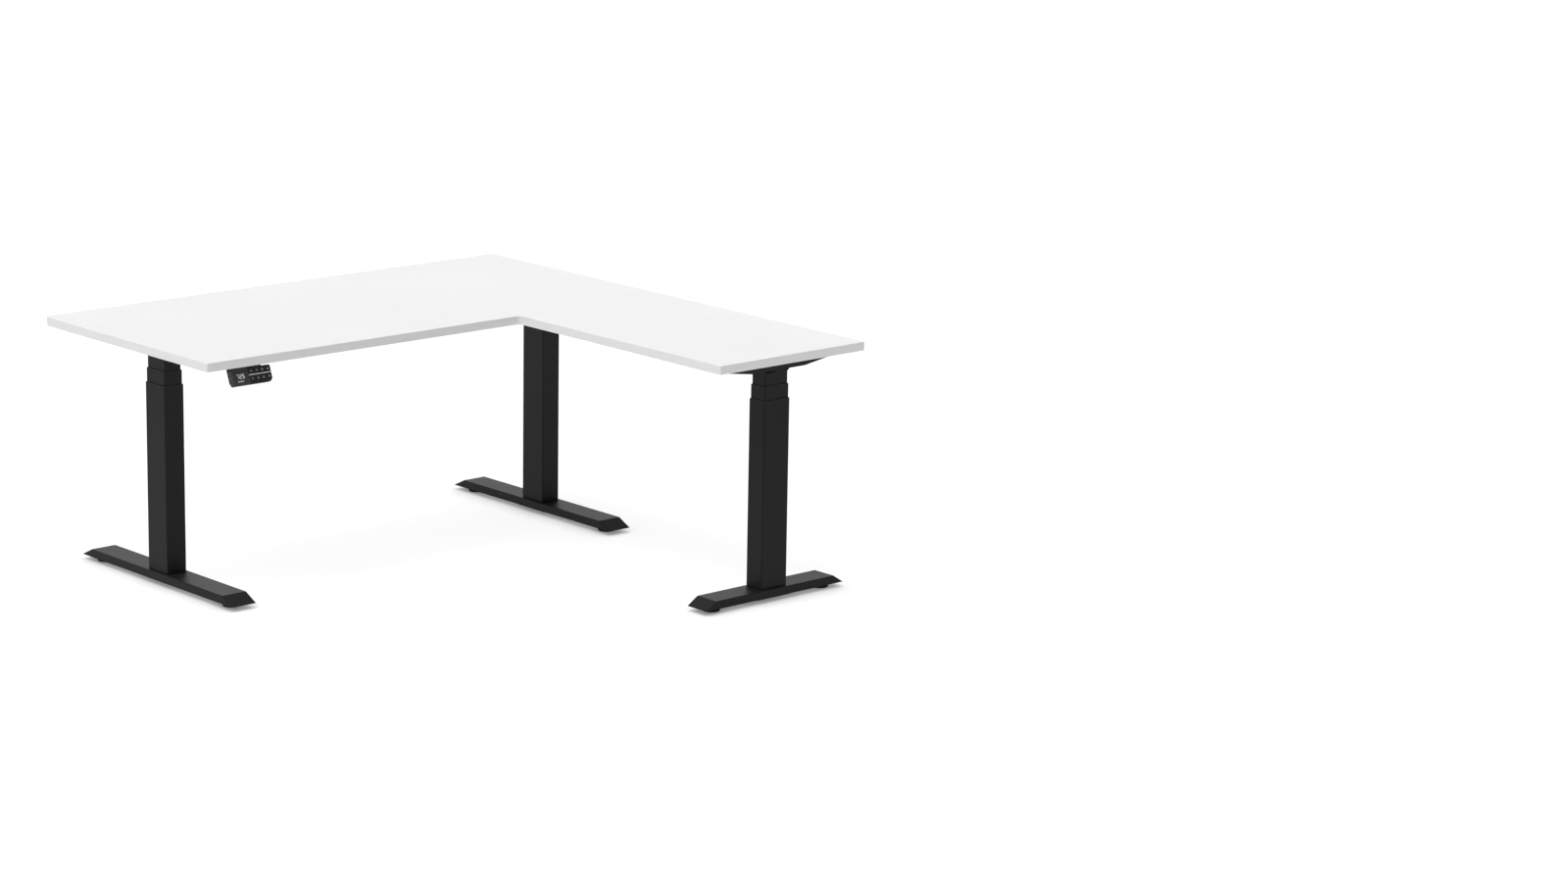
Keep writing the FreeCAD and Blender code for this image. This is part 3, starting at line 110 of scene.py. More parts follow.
class DeskFittings(bpy.types.PropertyGroup):
    """Sizes of the small fittings that the frame leaves plain."""

    stem_pitch: length("Glide thread", "Pitch of the levelling stems", 1.25 * MM)
    thread_depth: length("Thread depth", "Depth of the levelling thread", 0.65 * MM)
    spindle_pitch: length("Spindle thread", "Pitch of the lift screws", 3 * MM)
    grip_ribs: bpy.props.IntProperty(name="Grip ribs", description="Ribs round a glide",
                                     default=36, min=6)
    rib_depth: length("Rib depth", "Depth of the grip ribs", 0.8 * MM)
    key_round: length("Key corner", "Corner radius of a key", 1.6 * MM)
    key_edge: length("Key edge", "Rounding over a key's front", 0.45 * MM)
    panel_edge: length("Panel edge", "Rounding of the handset's front", 0.35 * MM)
    print_height: length("Print height", "Thickness of the printed marks", 0.06 * MM)
    digit_height: length("Digit height", "Height of the digits", 10.8 * MM)
    bead_radius: length("Weld bead", "Radius of the weld beads", 1.5 * MM)
    reading: bpy.props.StringProperty(name="Reading", description="Height shown on the handset",
                                      default="72.5")


class DeskStage(bpy.types.PropertyGroup):
    """Camera, light and floor."""

    camera_place: bpy.props.FloatVectorProperty(
        name="Camera", description="Where the camera stands", subtype="TRANSLATION", size=3,
        default=(-6.9575, -8.9508, 3.0555))
    camera_turn: bpy.props.FloatVectorProperty(
        name="Camera turn", description="Pitch above level, roll and heading", subtype="EULER",
        size=3, default=(math.radians(-13.14), math.radians(1.08), math.radians(-42.63)))
    lens: bpy.props.FloatProperty(name="Lens", description="Focal length in millimetres",
                                  default=93.78, min=10.0)
    floor_size: length("Floor", "Width of the floor", 70.0)
    floor_tone: tone("Floor tone", "Pale floor", (0.22, 0.22, 0.22))
    floor_glow: bpy.props.FloatProperty(name="Floor glow", description="Light of the floor itself",
                                        default=0.86, min=0.0)
    sun_strength: bpy.props.FloatProperty(name="Key light", description="Strength of the key light",
                                          default=2.75, min=0.0)
    sun_lean: bpy.props.FloatProperty(name="Key lean", description="Lean of the key light",
                                      default=math.radians(20), subtype="ANGLE")
    sky: bpy.props.FloatProperty(name="Sky", description="Even light of the room",
                                 default=0.1, min=0.0)
    backdrop: bpy.props.FloatProperty(name="Backdrop", default=2.1, min=0.0,
                                      description="Light of the bright wall behind the desk")


def finish_settings():
    return bpy.context.scene.desk_finish


def fittings():
    return bpy.context.scene.desk_fittings


# ---------------------------------------------------------------- shader maths


class Wire:
    """The output of a shader node, so that sums on it add Math nodes."""

    def __init__(self, finish, socket):
        self.finish = finish
        self.socket = socket

    def sum(self, operation, *values):
        return self.finish.node("ShaderNodeMath", {"operation": operation},
                                dict(enumerate(values)))[0]

    def __add__(self, other):
        return self.sum("ADD", self, other)

    def __radd__(self, other):
        return self.sum("ADD", other, self)

    def __sub__(self, other):
        return self.sum("SUBTRACT", self, other)

    def __rsub__(self, other):
        return self.sum("SUBTRACT", other, self)

    def __mul__(self, other):
        return self.sum("MULTIPLY", self, other)

    def __rmul__(self, other):
        return self.sum("MULTIPLY", other, self)

    def sine(self):
        return self.sum("SINE", self)

    def step(self, low, high):
        """0 below low, 1 above high and smooth between."""
        return self.finish.node("ShaderNodeMapRange", {"interpolation_type": "SMOOTHSTEP"},
                                {0: self, 1: low, 2: high, 3: 0.0, 4: 1.0})[0]


class Made:
    """A node that was just added; an index or a name gives one of its outputs."""

    def __init__(self, finish, node):
        self.finish = finish
        self.made = node

    def __getitem__(self, key):
        return Wire(self.finish, self.made.outputs[key])


class Finish:
    """A material under construction."""

    def __init__(self, name):
        self.material = bpy.data.materials.new(name)
        self.material.use_nodes = True
        self.tree = self.material.node_tree
        self.tree.nodes.clear()
        self.shader = self.tree.nodes.new("ShaderNodeBsdfPrincipled")
        output = self.tree.nodes.new("ShaderNodeOutputMaterial")
        self.tree.links.new(self.shader.outputs[0], output.inputs[0])
        self.place = self.node("ShaderNodeTexCoord", {}, {})["Object"]

    def node(self, kind, settings, sockets):
        """Add a node: its settings first, then the values or links of its sockets."""
        made = self.tree.nodes.new(kind)
        for key, value in settings.items():
            setattr(made, key, value)
        for key, value in sockets.items():
            self.feed(made.inputs[key], value)
        return Made(self, made)

    def feed(self, socket, value):
        if isinstance(value, Wire):
            self.tree.links.new(value.socket, socket)
        elif isinstance(socket.default_value, float):
            socket.default_value = float(value)
        elif len(socket.default_value) == 4:
            socket.default_value = (*tuple(value)[:3], 1.0)
        else:
            socket.default_value = tuple(value)

    def grain(self, scale, detail=2.0, rough=0.5, stretch=None, twist=0.0):
        """Noise in the desk's own space; a stretch draws it out along an axis."""
        where = self.place
        if stretch:
            where = self.node("ShaderNodeVectorMath", {"operation": "MULTIPLY"},
                              {0: where, 1: stretch})[0]
        return self.node("ShaderNodeTexNoise", {}, {"Vector": where, "Scale": scale,
                                                    "Detail": detail, "Roughness": rough,
                                                    "Distortion": twist})["Fac"]

    def cells(self, scale):
        """Distance to the nearest of many scattered points."""
        return self.node("ShaderNodeTexVoronoi", {},
                         {"Vector": self.place, "Scale": scale})["Distance"]

    def axis(self, letter):
        return self.node("ShaderNodeSeparateXYZ", {}, {0: self.place})[letter]

    def blend(self, factor, first, second):
        return self.node("ShaderNodeMix", {"data_type": "RGBA"},
                         {0: factor, 6: first, 7: second})[2]

    def soft_edges(self, radius):
        """A rounded normal, and a mask of the edges that it rounds."""
        rounded = self.node("ShaderNodeBevel", {"samples": 4}, {"Radius": radius})["Normal"]
        true = self.node("ShaderNodeNewGeometry", {}, {})["Normal"]
        along = self.node("ShaderNodeVectorMath", {"operation": "DOT_PRODUCT"},
                          {0: rounded, 1: true})["Value"]
        return rounded, (1 - along).step(0.01, 0.25)

    def relief(self, height, strength, distance, normal=None):
        """A bumped normal, on top of another one where that is given."""
        sockets = {"Height": height, "Strength": strength, "Distance": distance}
        if normal is not None:
            sockets["Normal"] = normal
        return self.node("ShaderNodeBump", {}, sockets)["Normal"]

    def set(self, sockets):
        for key, value in sockets.items():
            self.feed(self.shader.inputs[key], value)
        return self.material


def lighter(colour, amount):
    """A colour times an amount, which may be below one for a darker colour."""
    return tuple(min(1.0, channel * amount) for channel in colour)


def laminate(name, colour, roughness, pearl):
    """Pressed laminate: a fine pearl relief, cloudy gloss and faint wiping marks."""
    f = Finish(name)
    pits = f.cells(pearl)
    fibre = f.grain(pearl * 1.7, 2.0)
    cloud = f.grain(2.2, 4.0, 0.55)
    wipes = f.grain(6.0, 3.0, 0.6, (1.0, 0.22, 1.0), 0.6).step(0.52, 0.75)
    specks = f.grain(340.0, 1.0).step(0.66, 0.72)
    base = f.blend(cloud.step(0.3, 0.7), lighter(colour, 0.985), lighter(colour, 1.01))
    base = f.blend(specks * 0.05, base, lighter(colour, 0.8))
    return f.set({
        "Base Color": base,
        "Roughness": roughness + 0.07 * (cloud - 0.5) + 0.05 * fibre - 0.06 * wipes,
        "Normal": f.relief(0.6 * pits + 0.4 * fibre, 0.22, 0.00005),
        "Specular IOR Level": 0.04,
    })


def edge_plastic(name, colour):
    """Extruded edge band: faint draw lines along it and a satin face."""
    f = Finish(name)
    lines = f.grain(900.0, 2.0, 0.5, (0.03, 0.03, 1.0))
    cloud = f.grain(3.0, 3.0)
    grain = f.grain(1500.0, 1.0)
    base = f.blend(cloud, lighter(colour, 0.985), lighter(colour, 1.01))
    return f.set({
        "Base Color": base,
        "Roughness": 0.36 + 0.08 * lines + 0.05 * (cloud - 0.5),
        "Normal": f.relief(0.5 * lines + 0.5 * grain, 0.2, 0.00004),
        "Specular IOR Level": 0.45,
    })


def powder_coat(name, colour, worn, roughness, peel_scale=430.0, edge=0.0012):
    """Baked powder paint: orange peel, fine sparkle grain, rubbed edges and light scuffs."""
    f = Finish(name)
    peel = f.grain(peel_scale, 1.0)
    fine = f.grain(peel_scale * 3.3, 2.0, 0.6)
    cloud = f.grain(4.0, 4.0, 0.55)
    rub = f.grain(26.0, 3.0, 0.6)
    rounded, rim = f.soft_edges(edge)
    worn_rim = rim * rub.step(0.35, 0.7)
    base = f.blend(0.55 * cloud + 0.45 * fine, lighter(colour, 0.86), lighter(colour, 1.16))
    base = f.blend(0.55 * worn_rim, base, worn)
    scuffs = f.grain(60.0, 3.0, 0.65, (1.0, 1.0, 0.25), 1.2).step(0.66, 0.74)
    base = f.blend(0.22 * scuffs, base, lighter(worn, 0.8))
    return f.set({
        "Base Color": base,
        "Roughness": roughness + 0.10 * (peel - 0.5) + 0.08 * (cloud - 0.5) - 0.07 * worn_rim,
        "Normal": f.relief(0.65 * peel + 0.35 * fine, 0.3, 0.00007, rounded),
        "Specular IOR Level": 0.12,
    })


def moulded(name, colour, roughness, texture=1000.0, edge=0.0008, shine=0.3):
    """Injection-moulded plastic with a spark-eroded texture and slightly polished edges."""
    f = Finish(name)
    spark = f.cells(texture)
    fine = f.grain(texture * 1.4, 2.0)
    cloud = f.grain(18.0, 3.0)
    rounded, rim = f.soft_edges(edge)
    base = f.blend(0.6 * cloud + 0.4 * fine, lighter(colour, 0.85), lighter(colour, 1.18))
    base = f.blend(0.3 * rim, base, lighter(colour, 1.9))
    return f.set({
        "Base Color": base,
        "Roughness": roughness + 0.12 * (spark - 0.4) + 0.08 * (cloud - 0.5) - 0.1 * rim,
        "Normal": f.relief(0.6 * spark + 0.4 * fine, 0.3, 0.00005, rounded),
        "Specular IOR Level": shine,
    })


def glossy_plastic(name, colour, roughness, coat, pale=None):
    """Satin front panel: fingerprints, hairline scratches and a thin clear coat.

    Pale gives a second colour and the upper and lower ends of the slanted line, as X and Z,
    to the left of which it is used."""
    f = Finish(name)
    prints = f.grain(70.0, 4.0, 0.6, (1.0, 1.0, 1.0), 1.6).step(0.5, 0.72)
    if pale:
        second, (top_x, top_z), (low_x, low_z) = pale
        slope = (top_x - low_x) / (top_z - low_z)
        line = low_x + (f.axis("Z") - low_z) * slope
        side = (f.axis("X") - line).step(-0.0001, 0.0001)
    fine = f.grain(2600.0, 1.0)
    base = f.blend(0.4 * fine + 0.3 * prints, lighter(colour, 0.92), lighter(colour, 1.2))
    if pale:
        base = f.blend(side, f.blend(0.4 * fine + 0.3 * prints, lighter(second, 0.92),
                                     lighter(second, 1.12)), base)
    hair = f.grain(700.0, 2.0, 0.6, (0.05, 1.0, 1.0)).step(0.6, 0.68)
    return f.set({
        "Base Color": base,
        "Roughness": roughness + 0.10 * prints + 0.06 * hair,
        "Normal": f.relief(0.5 * fine + 0.5 * hair, 0.08, 0.00002),
        "Coat Weight": coat,
        "Coat Roughness": 0.12,
        "Specular IOR Level": 0.35,
    })


def screw_steel(name, colour, pitch):
    """Rolled lead screw: bright crests, greased dark grooves and turning marks."""
    f = Finish(name)
    groove = (f.axis("Z") * (2 * math.pi / pitch)).sine()
    crest = (0.5 + 0.5 * groove).step(0.15, 0.85)
    grease = f.grain(90.0, 3.0, 0.6).step(0.35, 0.75)
    marks = f.grain(1400.0, 2.0, 0.5, (0.2, 0.2, 1.0))
    base = f.blend(crest, lighter(colour, 0.22), f.blend(0.5 * grease, colour,
                                                         lighter(colour, 0.55)))
    return f.set({
        "Base Color": base,
        "Metallic": 1.0,
        "Roughness": 0.26 + 0.2 * grease + 0.1 * marks,
        "Normal": f.relief(crest + 0.1 * marks, 0.8, 0.0006),
    })


def plated(name, colour):
    """Black zinc on turned steel: rings of tool marks, bright rims and dull patches."""
    f = Finish(name)
    patches = f.grain(240.0, 3.0, 0.6)
    marks = f.grain(2400.0, 2.0, 0.6)
    rounded, rim = f.soft_edges(0.0004)
    base = f.blend(patches, lighter(colour, 0.75), lighter(colour, 1.3))
    base = f.blend(0.5 * rim, base, lighter(colour, 3.2))
    return f.set({
        "Base Color": base,
        "Metallic": 0.85,
        "Roughness": 0.38 + 0.16 * (patches - 0.5) + 0.06 * marks - 0.08 * rim,
        "Normal": f.relief(marks, 0.25, 0.00003, rounded),
    })


def motor_paint(name, colour):
    """Grey enamel of a motor can with draw marks round it."""
    f = Finish(name)
    rings = f.grain(600.0, 2.0, 0.5, (0.04, 0.04, 1.0))
    cloud = f.grain(30.0, 3.0)
    rounded, rim = f.soft_edges(0.0008)
    base = f.blend(cloud, lighter(colour, 0.85), lighter(colour, 1.12))
    base = f.blend(0.35 * rim, base, lighter(colour, 1.7))
    return f.set({
        "Base Color": base,
        "Metallic": 0.35,
        "Roughness": 0.42 + 0.12 * rings + 0.08 * (cloud - 0.5),
        "Normal": f.relief(rings, 0.25, 0.00005, rounded),
    })


def solder_resist(name, colour):
    """Circuit board: tracks under the green resist, tinned pads and a woven base."""
    f = Finish(name)
    bricks = f.node("ShaderNodeTexBrick", {}, {"Vector": f.place, "Scale": 260.0,
                                               "Mortar Size": 0.03, "Color1": (1, 1, 1),
                                               "Color2": (0.6, 0.6, 0.6),
                                               "Mortar": (0, 0, 0)})["Fac"]
    pads = 1 - f.cells(240.0).step(0.10, 0.16)
    weave = f.grain(1800.0, 2.0)
    base = f.blend(bricks, lighter(colour, 0.8), lighter(colour, 1.8))
    base = f.blend(pads, base, (0.62, 0.62, 0.6))
    return f.set({
        "Base Color": base,
        "Metallic": pads * 0.9,
        "Roughness": 0.36 + 0.12 * weave - 0.1 * pads,
        "Normal": f.relief(0.6 * bricks + 0.4 * weave + pads, 0.3, 0.00004),
    })


def printing(name, colour):
    """Screen-printed white ink, a little uneven in its cover."""
    f = Finish(name)
    cover = f.grain(2200.0, 2.0)
    base = f.blend(cover, lighter(colour, 0.86), lighter(colour, 1.05))
    return f.set({
        "Base Color": base,
        "Roughness": 0.48 + 0.14 * cover,
        "Normal": f.relief(cover, 0.2, 0.00002),
        "Specular IOR Level": 0.35,
    })


def lit_segment(name, colour, glow):
    """A glowing segment whose colour varies a little across it."""
    f = Finish(name)
    spread = f.grain(900.0, 2.0)
    hue = f.blend(spread, lighter(colour, 0.9), lighter(colour, 1.05))
    return f.set({
        "Base Color": hue,
        "Emission Color": hue,
        "Emission Strength": glow,
        "Roughness": 0.3 + 0.1 * spread,
    })


def pale_floor(name, colour, glow):
    """Plain matt studio floor that glows faintly, so that shadows on it stay soft; near close
    objects its glow is dimmed as a painted contact shadow.
    """
    f = Finish(name)
    cloud = f.grain(1.3, 2.0)
    # Ambient occlusion mask: it dims the floor's glow under and around the feet, a painted contact
    # shadow.
    near = f.node("ShaderNodeAmbientOcclusion", {"samples": 8}, {"Distance": 0.07})["AO"]
    return f.set({
        "Base Color": f.blend(cloud, lighter(colour, 0.995), colour),
        "Roughness": 0.9,
        "Specular IOR Level": 0.0,
        "Emission Color": f.blend(near, (0.2, 0.2, 0.2), (1.0, 1.0, 1.0)),
        "Emission Strength": glow,
    })


class Finishes:
    """Every finish, made the first time that a piece asks for it."""

    def __init__(self):
        self.made = {}

    def recipe(self, name):
        s = finish_settings()
        p = fittings()
        return {
            "laminate": lambda: laminate("white laminate", s.laminate, s.laminate_gloss, 1100.0),
            "band": lambda: edge_plastic("white edge band", s.band),
            "coat": lambda: powder_coat("black powder coat", s.coat, s.coat_worn, s.coat_gloss),
            "cast": lambda: powder_coat("black cast head", s.coat, s.coat_worn,
                                        s.coat_gloss + 0.06, 260.0, 0.002),
            "weld": lambda: powder_coat("painted weld", s.coat, s.coat_worn,
                                        s.coat_gloss - 0.04, 700.0, 0.0004),
            "nylon": lambda: moulded("black nylon", s.nylon, 0.5, 900.0),
            "pad": lambda: moulded("glide pad", s.nylon, 0.62, 620.0, 0.001, 0.25),
            "zinc": lambda: plated("black zinc", s.zinc),
            "steel": lambda: screw_steel("lead screw steel", s.steel, p.spindle_pitch),
            "stem": lambda: plated("stem steel", lighter(s.zinc, 3.0)),
            "motor": lambda: motor_paint("motor enamel", s.motor),
            "casing": lambda: moulded("moulded casing", s.casing, 0.52, 760.0),
            "case": lambda: moulded("handset case", s.casing, 0.46, 1200.0, 0.0006),
            "key": lambda: moulded("rubber key", lighter(s.panel, 1.15), 0.55, 1500.0, 0.0004),
            "plug": lambda: moulded("grey socket cover", lighter(s.casing, 3.6), 0.5, 1400.0,
                                    0.0004),
            "panel": lambda: glossy_plastic("satin panel", s.panel, 0.34, 0.15,
                                            (s.window, *Handset().slant())),
            "window": lambda: glossy_plastic("smoked window", s.window, 0.2, 0.3),
            "unlit": lambda: glossy_plastic("unlit segment", lighter(s.window, 1.08), 0.3, 0.1),
            "board": lambda: solder_resist("solder resist", s.board),
            "print": lambda: printing("white ink", s.printing),
            "lit": lambda: lit_segment("lit segment", s.segment, s.segment_glow),
            "pin": lambda: plated("tinned pin", s.tin),
        }[name]

    def get(self, name):
        if name not in self.made:
            self.made[name] = self.recipe(name)()
        return self.made[name]


FINISHES = Finishes()


def coat_nodes(finish, *names):
    """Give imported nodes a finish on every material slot."""
    material = FINISHES.get(finish)
    for name in names:
        data = NODES[name].data
        data.materials.clear()
        data.materials.append(material)


# ---------------------------------------------------------------- shapes


LEAST_RADIUS = 0.01 * MM


def piece(name, points, faces, finish, body, smooth=35.0):
    """A finished mesh object whose points are in the desk's frame."""
    mesh = bpy.data.meshes.new(name)
    mesh.from_pydata([tuple(point) for point in points], [], faces)
    build = bmesh.new()
    build.from_mesh(mesh)
    bmesh.ops.remove_doubles(build, verts=build.verts, dist=1e-7)
    bmesh.ops.recalc_face_normals(build, faces=build.faces)
    build.to_mesh(mesh)
    build.free()
    mesh.materials.append(FINISHES.get(finish))
    made = bpy.data.objects.new(name, mesh)
    bpy.context.scene.collection.objects.link(made)
    if smooth:
        mesh.shade_smooth()
        mesh.set_sharp_from_angle(angle=math.radians(smooth))
    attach(made, body)
    return made


class Shape:
    """Points and faces that gather until a piece is made of them."""

    def __init__(self):
        self.points = []
        self.faces = []

    def add(self, other, place):
        """Add another shape, moved by a matrix."""
        start = len(self.points)
        self.points += [place @ Vector(point) for point in other.points]
        self.faces += [[start + i for i in face] for face in other.faces]
        return self

    def rings(self, rows):
        """Rows of equally many points, joined to the next row and capped."""
        start, count = len(self.points), len(rows[0])
        for row in rows:
            self.points += [Vector(point) for point in row]
        for i in range(len(rows) - 1):
            for j in range(count):
                k = (j + 1) % count
                low, high = start + i * count, start + (i + 1) * count
                self.faces.append([low + j, low + k, high + k, high + j])
        last = start + (len(rows) - 1) * count
        self.faces.append([start + count - 1 - j for j in range(count)])
        self.faces.append([last + j for j in range(count)])
        return self

    def make(self, name, finish, body, slot=None, smooth=35.0):
        return piece(name, self.points, self.faces, finish, body, smooth)


def turned(profile, segments):
    """A solid of revolution; a radius may be a function of the angle."""
    rows = []
    for radius, height in profile:
        row = []
        for i in range(segments):
            angle = 2 * math.pi * i / segments
            reach = radius(angle) if callable(radius) else radius
            row.append((reach * math.cos(angle), reach * math.sin(angle), height))
        rows.append(row)
    return Shape().rings(rows)


def hexagon(across):
    """Radius of a hexagon, flat to flat, as a function of the angle."""
    def radius(angle):
        turn = (angle + math.pi / 6) % (math.pi / 3) - math.pi / 6
        return across / 2 / math.cos(turn)
    return radius


def cross(arm, width):
    """Radius of a cross recess as a function of the angle."""
    def radius(angle):
        turn = (angle + math.pi / 4) % (math.pi / 2) - math.pi / 4
        side = width / 2 / max(abs(math.sin(turn)), 1e-6)
        return max(min(arm, side), width * 0.62)
    return radius


def thread(core, crest, pitch, low, high, segments=24, steps=6):
    """A screw thread: its surface rises and falls as it winds up the stem."""
    count = max(2, int((high - low) / pitch * steps))
    rows = []
    for i in range(count + 1):
        height = low + (high - low) * i / count
        fade = min(1.0, (high - height) / pitch, (height - low) / pitch + 0.2)
        row = []
        for j in range(segments):
            angle = 2 * math.pi * j / segments
            phase = (height / pitch - j / segments) % 1.0
            reach = core + (crest - core) * (1 - abs(2 * phase - 1)) * max(fade, 0.0)
            row.append((reach * math.cos(angle), reach * math.sin(angle), height))
        rows.append(row)
    return Shape().rings(rows)


def rounded_box(x_size, y_size, z_size, corner, edge, segments=5):
    """A block on Z = 0 with round upright corners and softened top and bottom rims."""
    rows = []
    for inset, height in ((edge, 0.0), (0.0, edge), (0.0, z_size - edge), (edge, z_size)):
        row = []
        for quarter in range(4):
            cx = (x_size / 2 - corner) * (1 if quarter in (0, 3) else -1)
            cy = (y_size / 2 - corner) * (1 if quarter in (0, 1) else -1)
            for i in range(segments):
                angle = math.pi / 2 * (quarter + i / (segments - 1))
                reach = max(corner - inset, LEAST_RADIUS)
                row.append((cx + reach * math.cos(angle), cy + reach * math.sin(angle), height))
        rows.append(row)
    return Shape().rings(rows)


def bead(radius, reach, ripples):
    """A weld bead along Z: overlapping ripples that taper at both ends."""
    rows, around, steps = [], 10, ripples * 4
    for i in range(steps + 1):
        along = i / steps
        swell = 0.86 + 0.14 * abs(math.sin(math.pi * ripples * along))
        taper = min(1.0, 5 * along + 0.25, 5 * (1 - along) + 0.25)
        size = radius * swell * taper
        rows.append([(size * math.cos(2 * math.pi * j / around),
                      size * math.sin(2 * math.pi * j / around), reach * along)
                     for j in range(around)])
    return Shape().rings(rows)


def flat_curve(name, outlines, thickness, edge):
    """Outlines, the first with the others as holes, as a sheet about z = 0 with soft rims."""
    data = bpy.data.curves.new(name, "CURVE")
    data.dimensions = "2D"
    data.fill_mode = "BOTH"
    data.extrude = thickness / 2 - edge
    data.bevel_depth = edge
    data.bevel_resolution = 2
    data.offset = -edge
    for outline in outlines:
        spline = data.splines.new("POLY")
        spline.points.add(len(outline) - 1)
        for point, (x, y) in zip(spline.points, outline):
            point.co = (x, y, 0.0, 1.0)
        spline.use_cyclic_u = True
    holder = bpy.data.objects.new(name, data)
    mesh = bpy.data.meshes.new_from_object(holder)
    shape = Shape()
    shape.points = [vertex.co.copy() for vertex in mesh.vertices]
    shape.faces = [list(polygon.vertices) for polygon in mesh.polygons]
    bpy.data.objects.remove(holder)
    bpy.data.curves.remove(data)
    bpy.data.meshes.remove(mesh)
    return shape


def rounded_outline(corners, radius, segments=5):
    """A closed outline whose corners, listed anticlockwise, are rounded."""
    outline, count = [], len(corners)
    for i, corner in enumerate(corners):
        here = Vector(corner)
        back = (Vector(corners[i - 1]) - here).normalized()
        ahead = (Vector(corners[(i + 1) % count]) - here).normalized()
        half = back.angle(ahead) / 2
        reach = radius / math.tan(half)
        centre = here + (back + ahead).normalized() * radius / math.sin(half)
        first, last = here + back * reach - centre, here + ahead * reach - centre
        sweep = first.angle_signed(last)
        for j in range(segments):
            turn = Matrix.Rotation(-sweep * j / (segments - 1), 2)
            outline.append(tuple(centre + turn @ first))
    return outline


def box_outline(x, y, width, height, radius):
    corners = [(x - width / 2, y - height / 2), (x + width / 2, y - height / 2),
               (x + width / 2, y + height / 2), (x - width / 2, y + height / 2)]
    return rounded_outline(corners, radius)


def bar(start, end, width):
    """The outline of a straight stroke with pointed ends."""
    a, b = Vector(start), Vector(end)
    way = (b - a).normalized() * width / 2
    side = Vector((-way.y, way.x))
    return [tuple(p) for p in (a, a + way - side, b - way - side, b, b - way + side,
                               a + way + side)]


def loose_parts(node):
    """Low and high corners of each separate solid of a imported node."""
    build = bmesh.new()
    build.from_mesh(NODES[node].data)
    bmesh.ops.remove_doubles(build, verts=build.verts, dist=1e-6)
    build.verts.ensure_lookup_table()
    seen, parts = set(), []
    for start in build.verts:
        if start.index in seen:
            continue
        queue, members = [start], []
        seen.add(start.index)
        while queue:
            vertex = queue.pop()
            members.append(vertex.co.copy())
            for edge in vertex.link_edges:
                other = edge.other_vert(vertex)
                if other.index not in seen:
                    seen.add(other.index)
                    queue.append(other)
        low = Vector([min(point[i] for point in members) for i in range(3)])
        high = Vector([max(point[i] for point in members) for i in range(3)])
        parts.append((low, high))
    build.free()
    return sorted(parts, key=lambda part: tuple(round(x, 4) for x in part[0]))


# ---------------------------------------------------------------- the top and the frame


class DESK_OT_top(bpy.types.Operator):
    """Finish the board and its edge band"""

    bl_idname = "standing_desk.top"
    bl_label = "Board and edge band"

    def execute(self, context):
        coat_nodes("laminate", "desktop")
        coat_nodes("band", "edge_band")
        return {"FINISHED"}


class DESK_OT_frame(bpy.types.Operator):
    """Finish the feet, tubes, heads, side brackets and crossbars"""

    bl_idname = "standing_desk.frame"
    bl_label = "Feet, columns and crossbars"

    def execute(self, context):
        for leg in LEGS:
            coat_nodes("coat", f"foot_{leg}", f"outer_tube_{leg}", f"middle_tube_{leg}",
                       f"inner_tube_{leg}", f"side_bracket_{leg}")
            coat_nodes("cast", f"head_{leg}")
            coat_nodes("nylon", f"upper_ring_{leg}")
        coat_nodes("nylon", "lower_rings")
        coat_nodes("coat", "crossbars_main", "crossbars_return", "clamp_plates",
                   "handset_bracket")
        return {"FINISHED"}


class DESK_OT_spindles(bpy.types.Operator):
    """Finish the motors and the telescopic screws inside the columns"""

    bl_idname = "standing_desk.spindles"
    bl_label = "Motors and screws"

    def execute(self, context):
        coat_nodes("steel", "base_screws")
        for leg in LEGS:
            coat_nodes("motor", f"motor_{leg}")
            coat_nodes("steel", f"middle_screw_{leg}", f"drive_sleeve_{leg}")
        return {"FINISHED"}


# The crossbars' section and end plates, and where a bead starts and stops on them.
RAIL_WIDTH = 20 * MM
END_PLATE = 3 * MM
BEAD_END = 1.2 * MM
BEAD_RIPPLES = 14


class DESK_OT_welds(bpy.types.Operator):
    """Weld the crossbars to their end plates"""

    bl_idname = "standing_desk.welds"
    bl_label = "Weld beads"

    def execute(self, context):
        radius = fittings().bead_radius
        shape = Shape()
        for node, along in (("crossbars_main", 0), ("crossbars_return", 1)):
            for low, high in loose_parts(node):
                middle = (low + high) / 2
                rail_middle = middle_of(node)
                across = 1 - along
                inward = 1 if middle[across] < rail_middle[across] else -1
                outer = low[across] if inward > 0 else high[across]
                inner = outer + inward * RAIL_WIDTH
                for end, way in ((low[along], 1), (high[along], -1)):
                    spot = [0.0, 0.0, low.z + BEAD_END]
                    spot[along] = end + way * END_PLATE
                    spot[across] = inner
                    reach = high.z - low.z - 2 * BEAD_END
                    shape.add(bead(radius, reach, BEAD_RIPPLES), Matrix.Translation(spot))
        shape.make("weld_beads", "weld", "desk", "powder_coat", 50.0)
        return {"FINISHED"}


# ---------------------------------------------------------------- glides and fasteners


PAD_SEGMENTS = 144
STEM_SEGMENTS = 24
STEM_RADIUS = 3.98 * MM
STEM_START = 11.4 * MM
STEM_TIP = 1 * MM
WRENCH_FLATS = 6.6 * MM


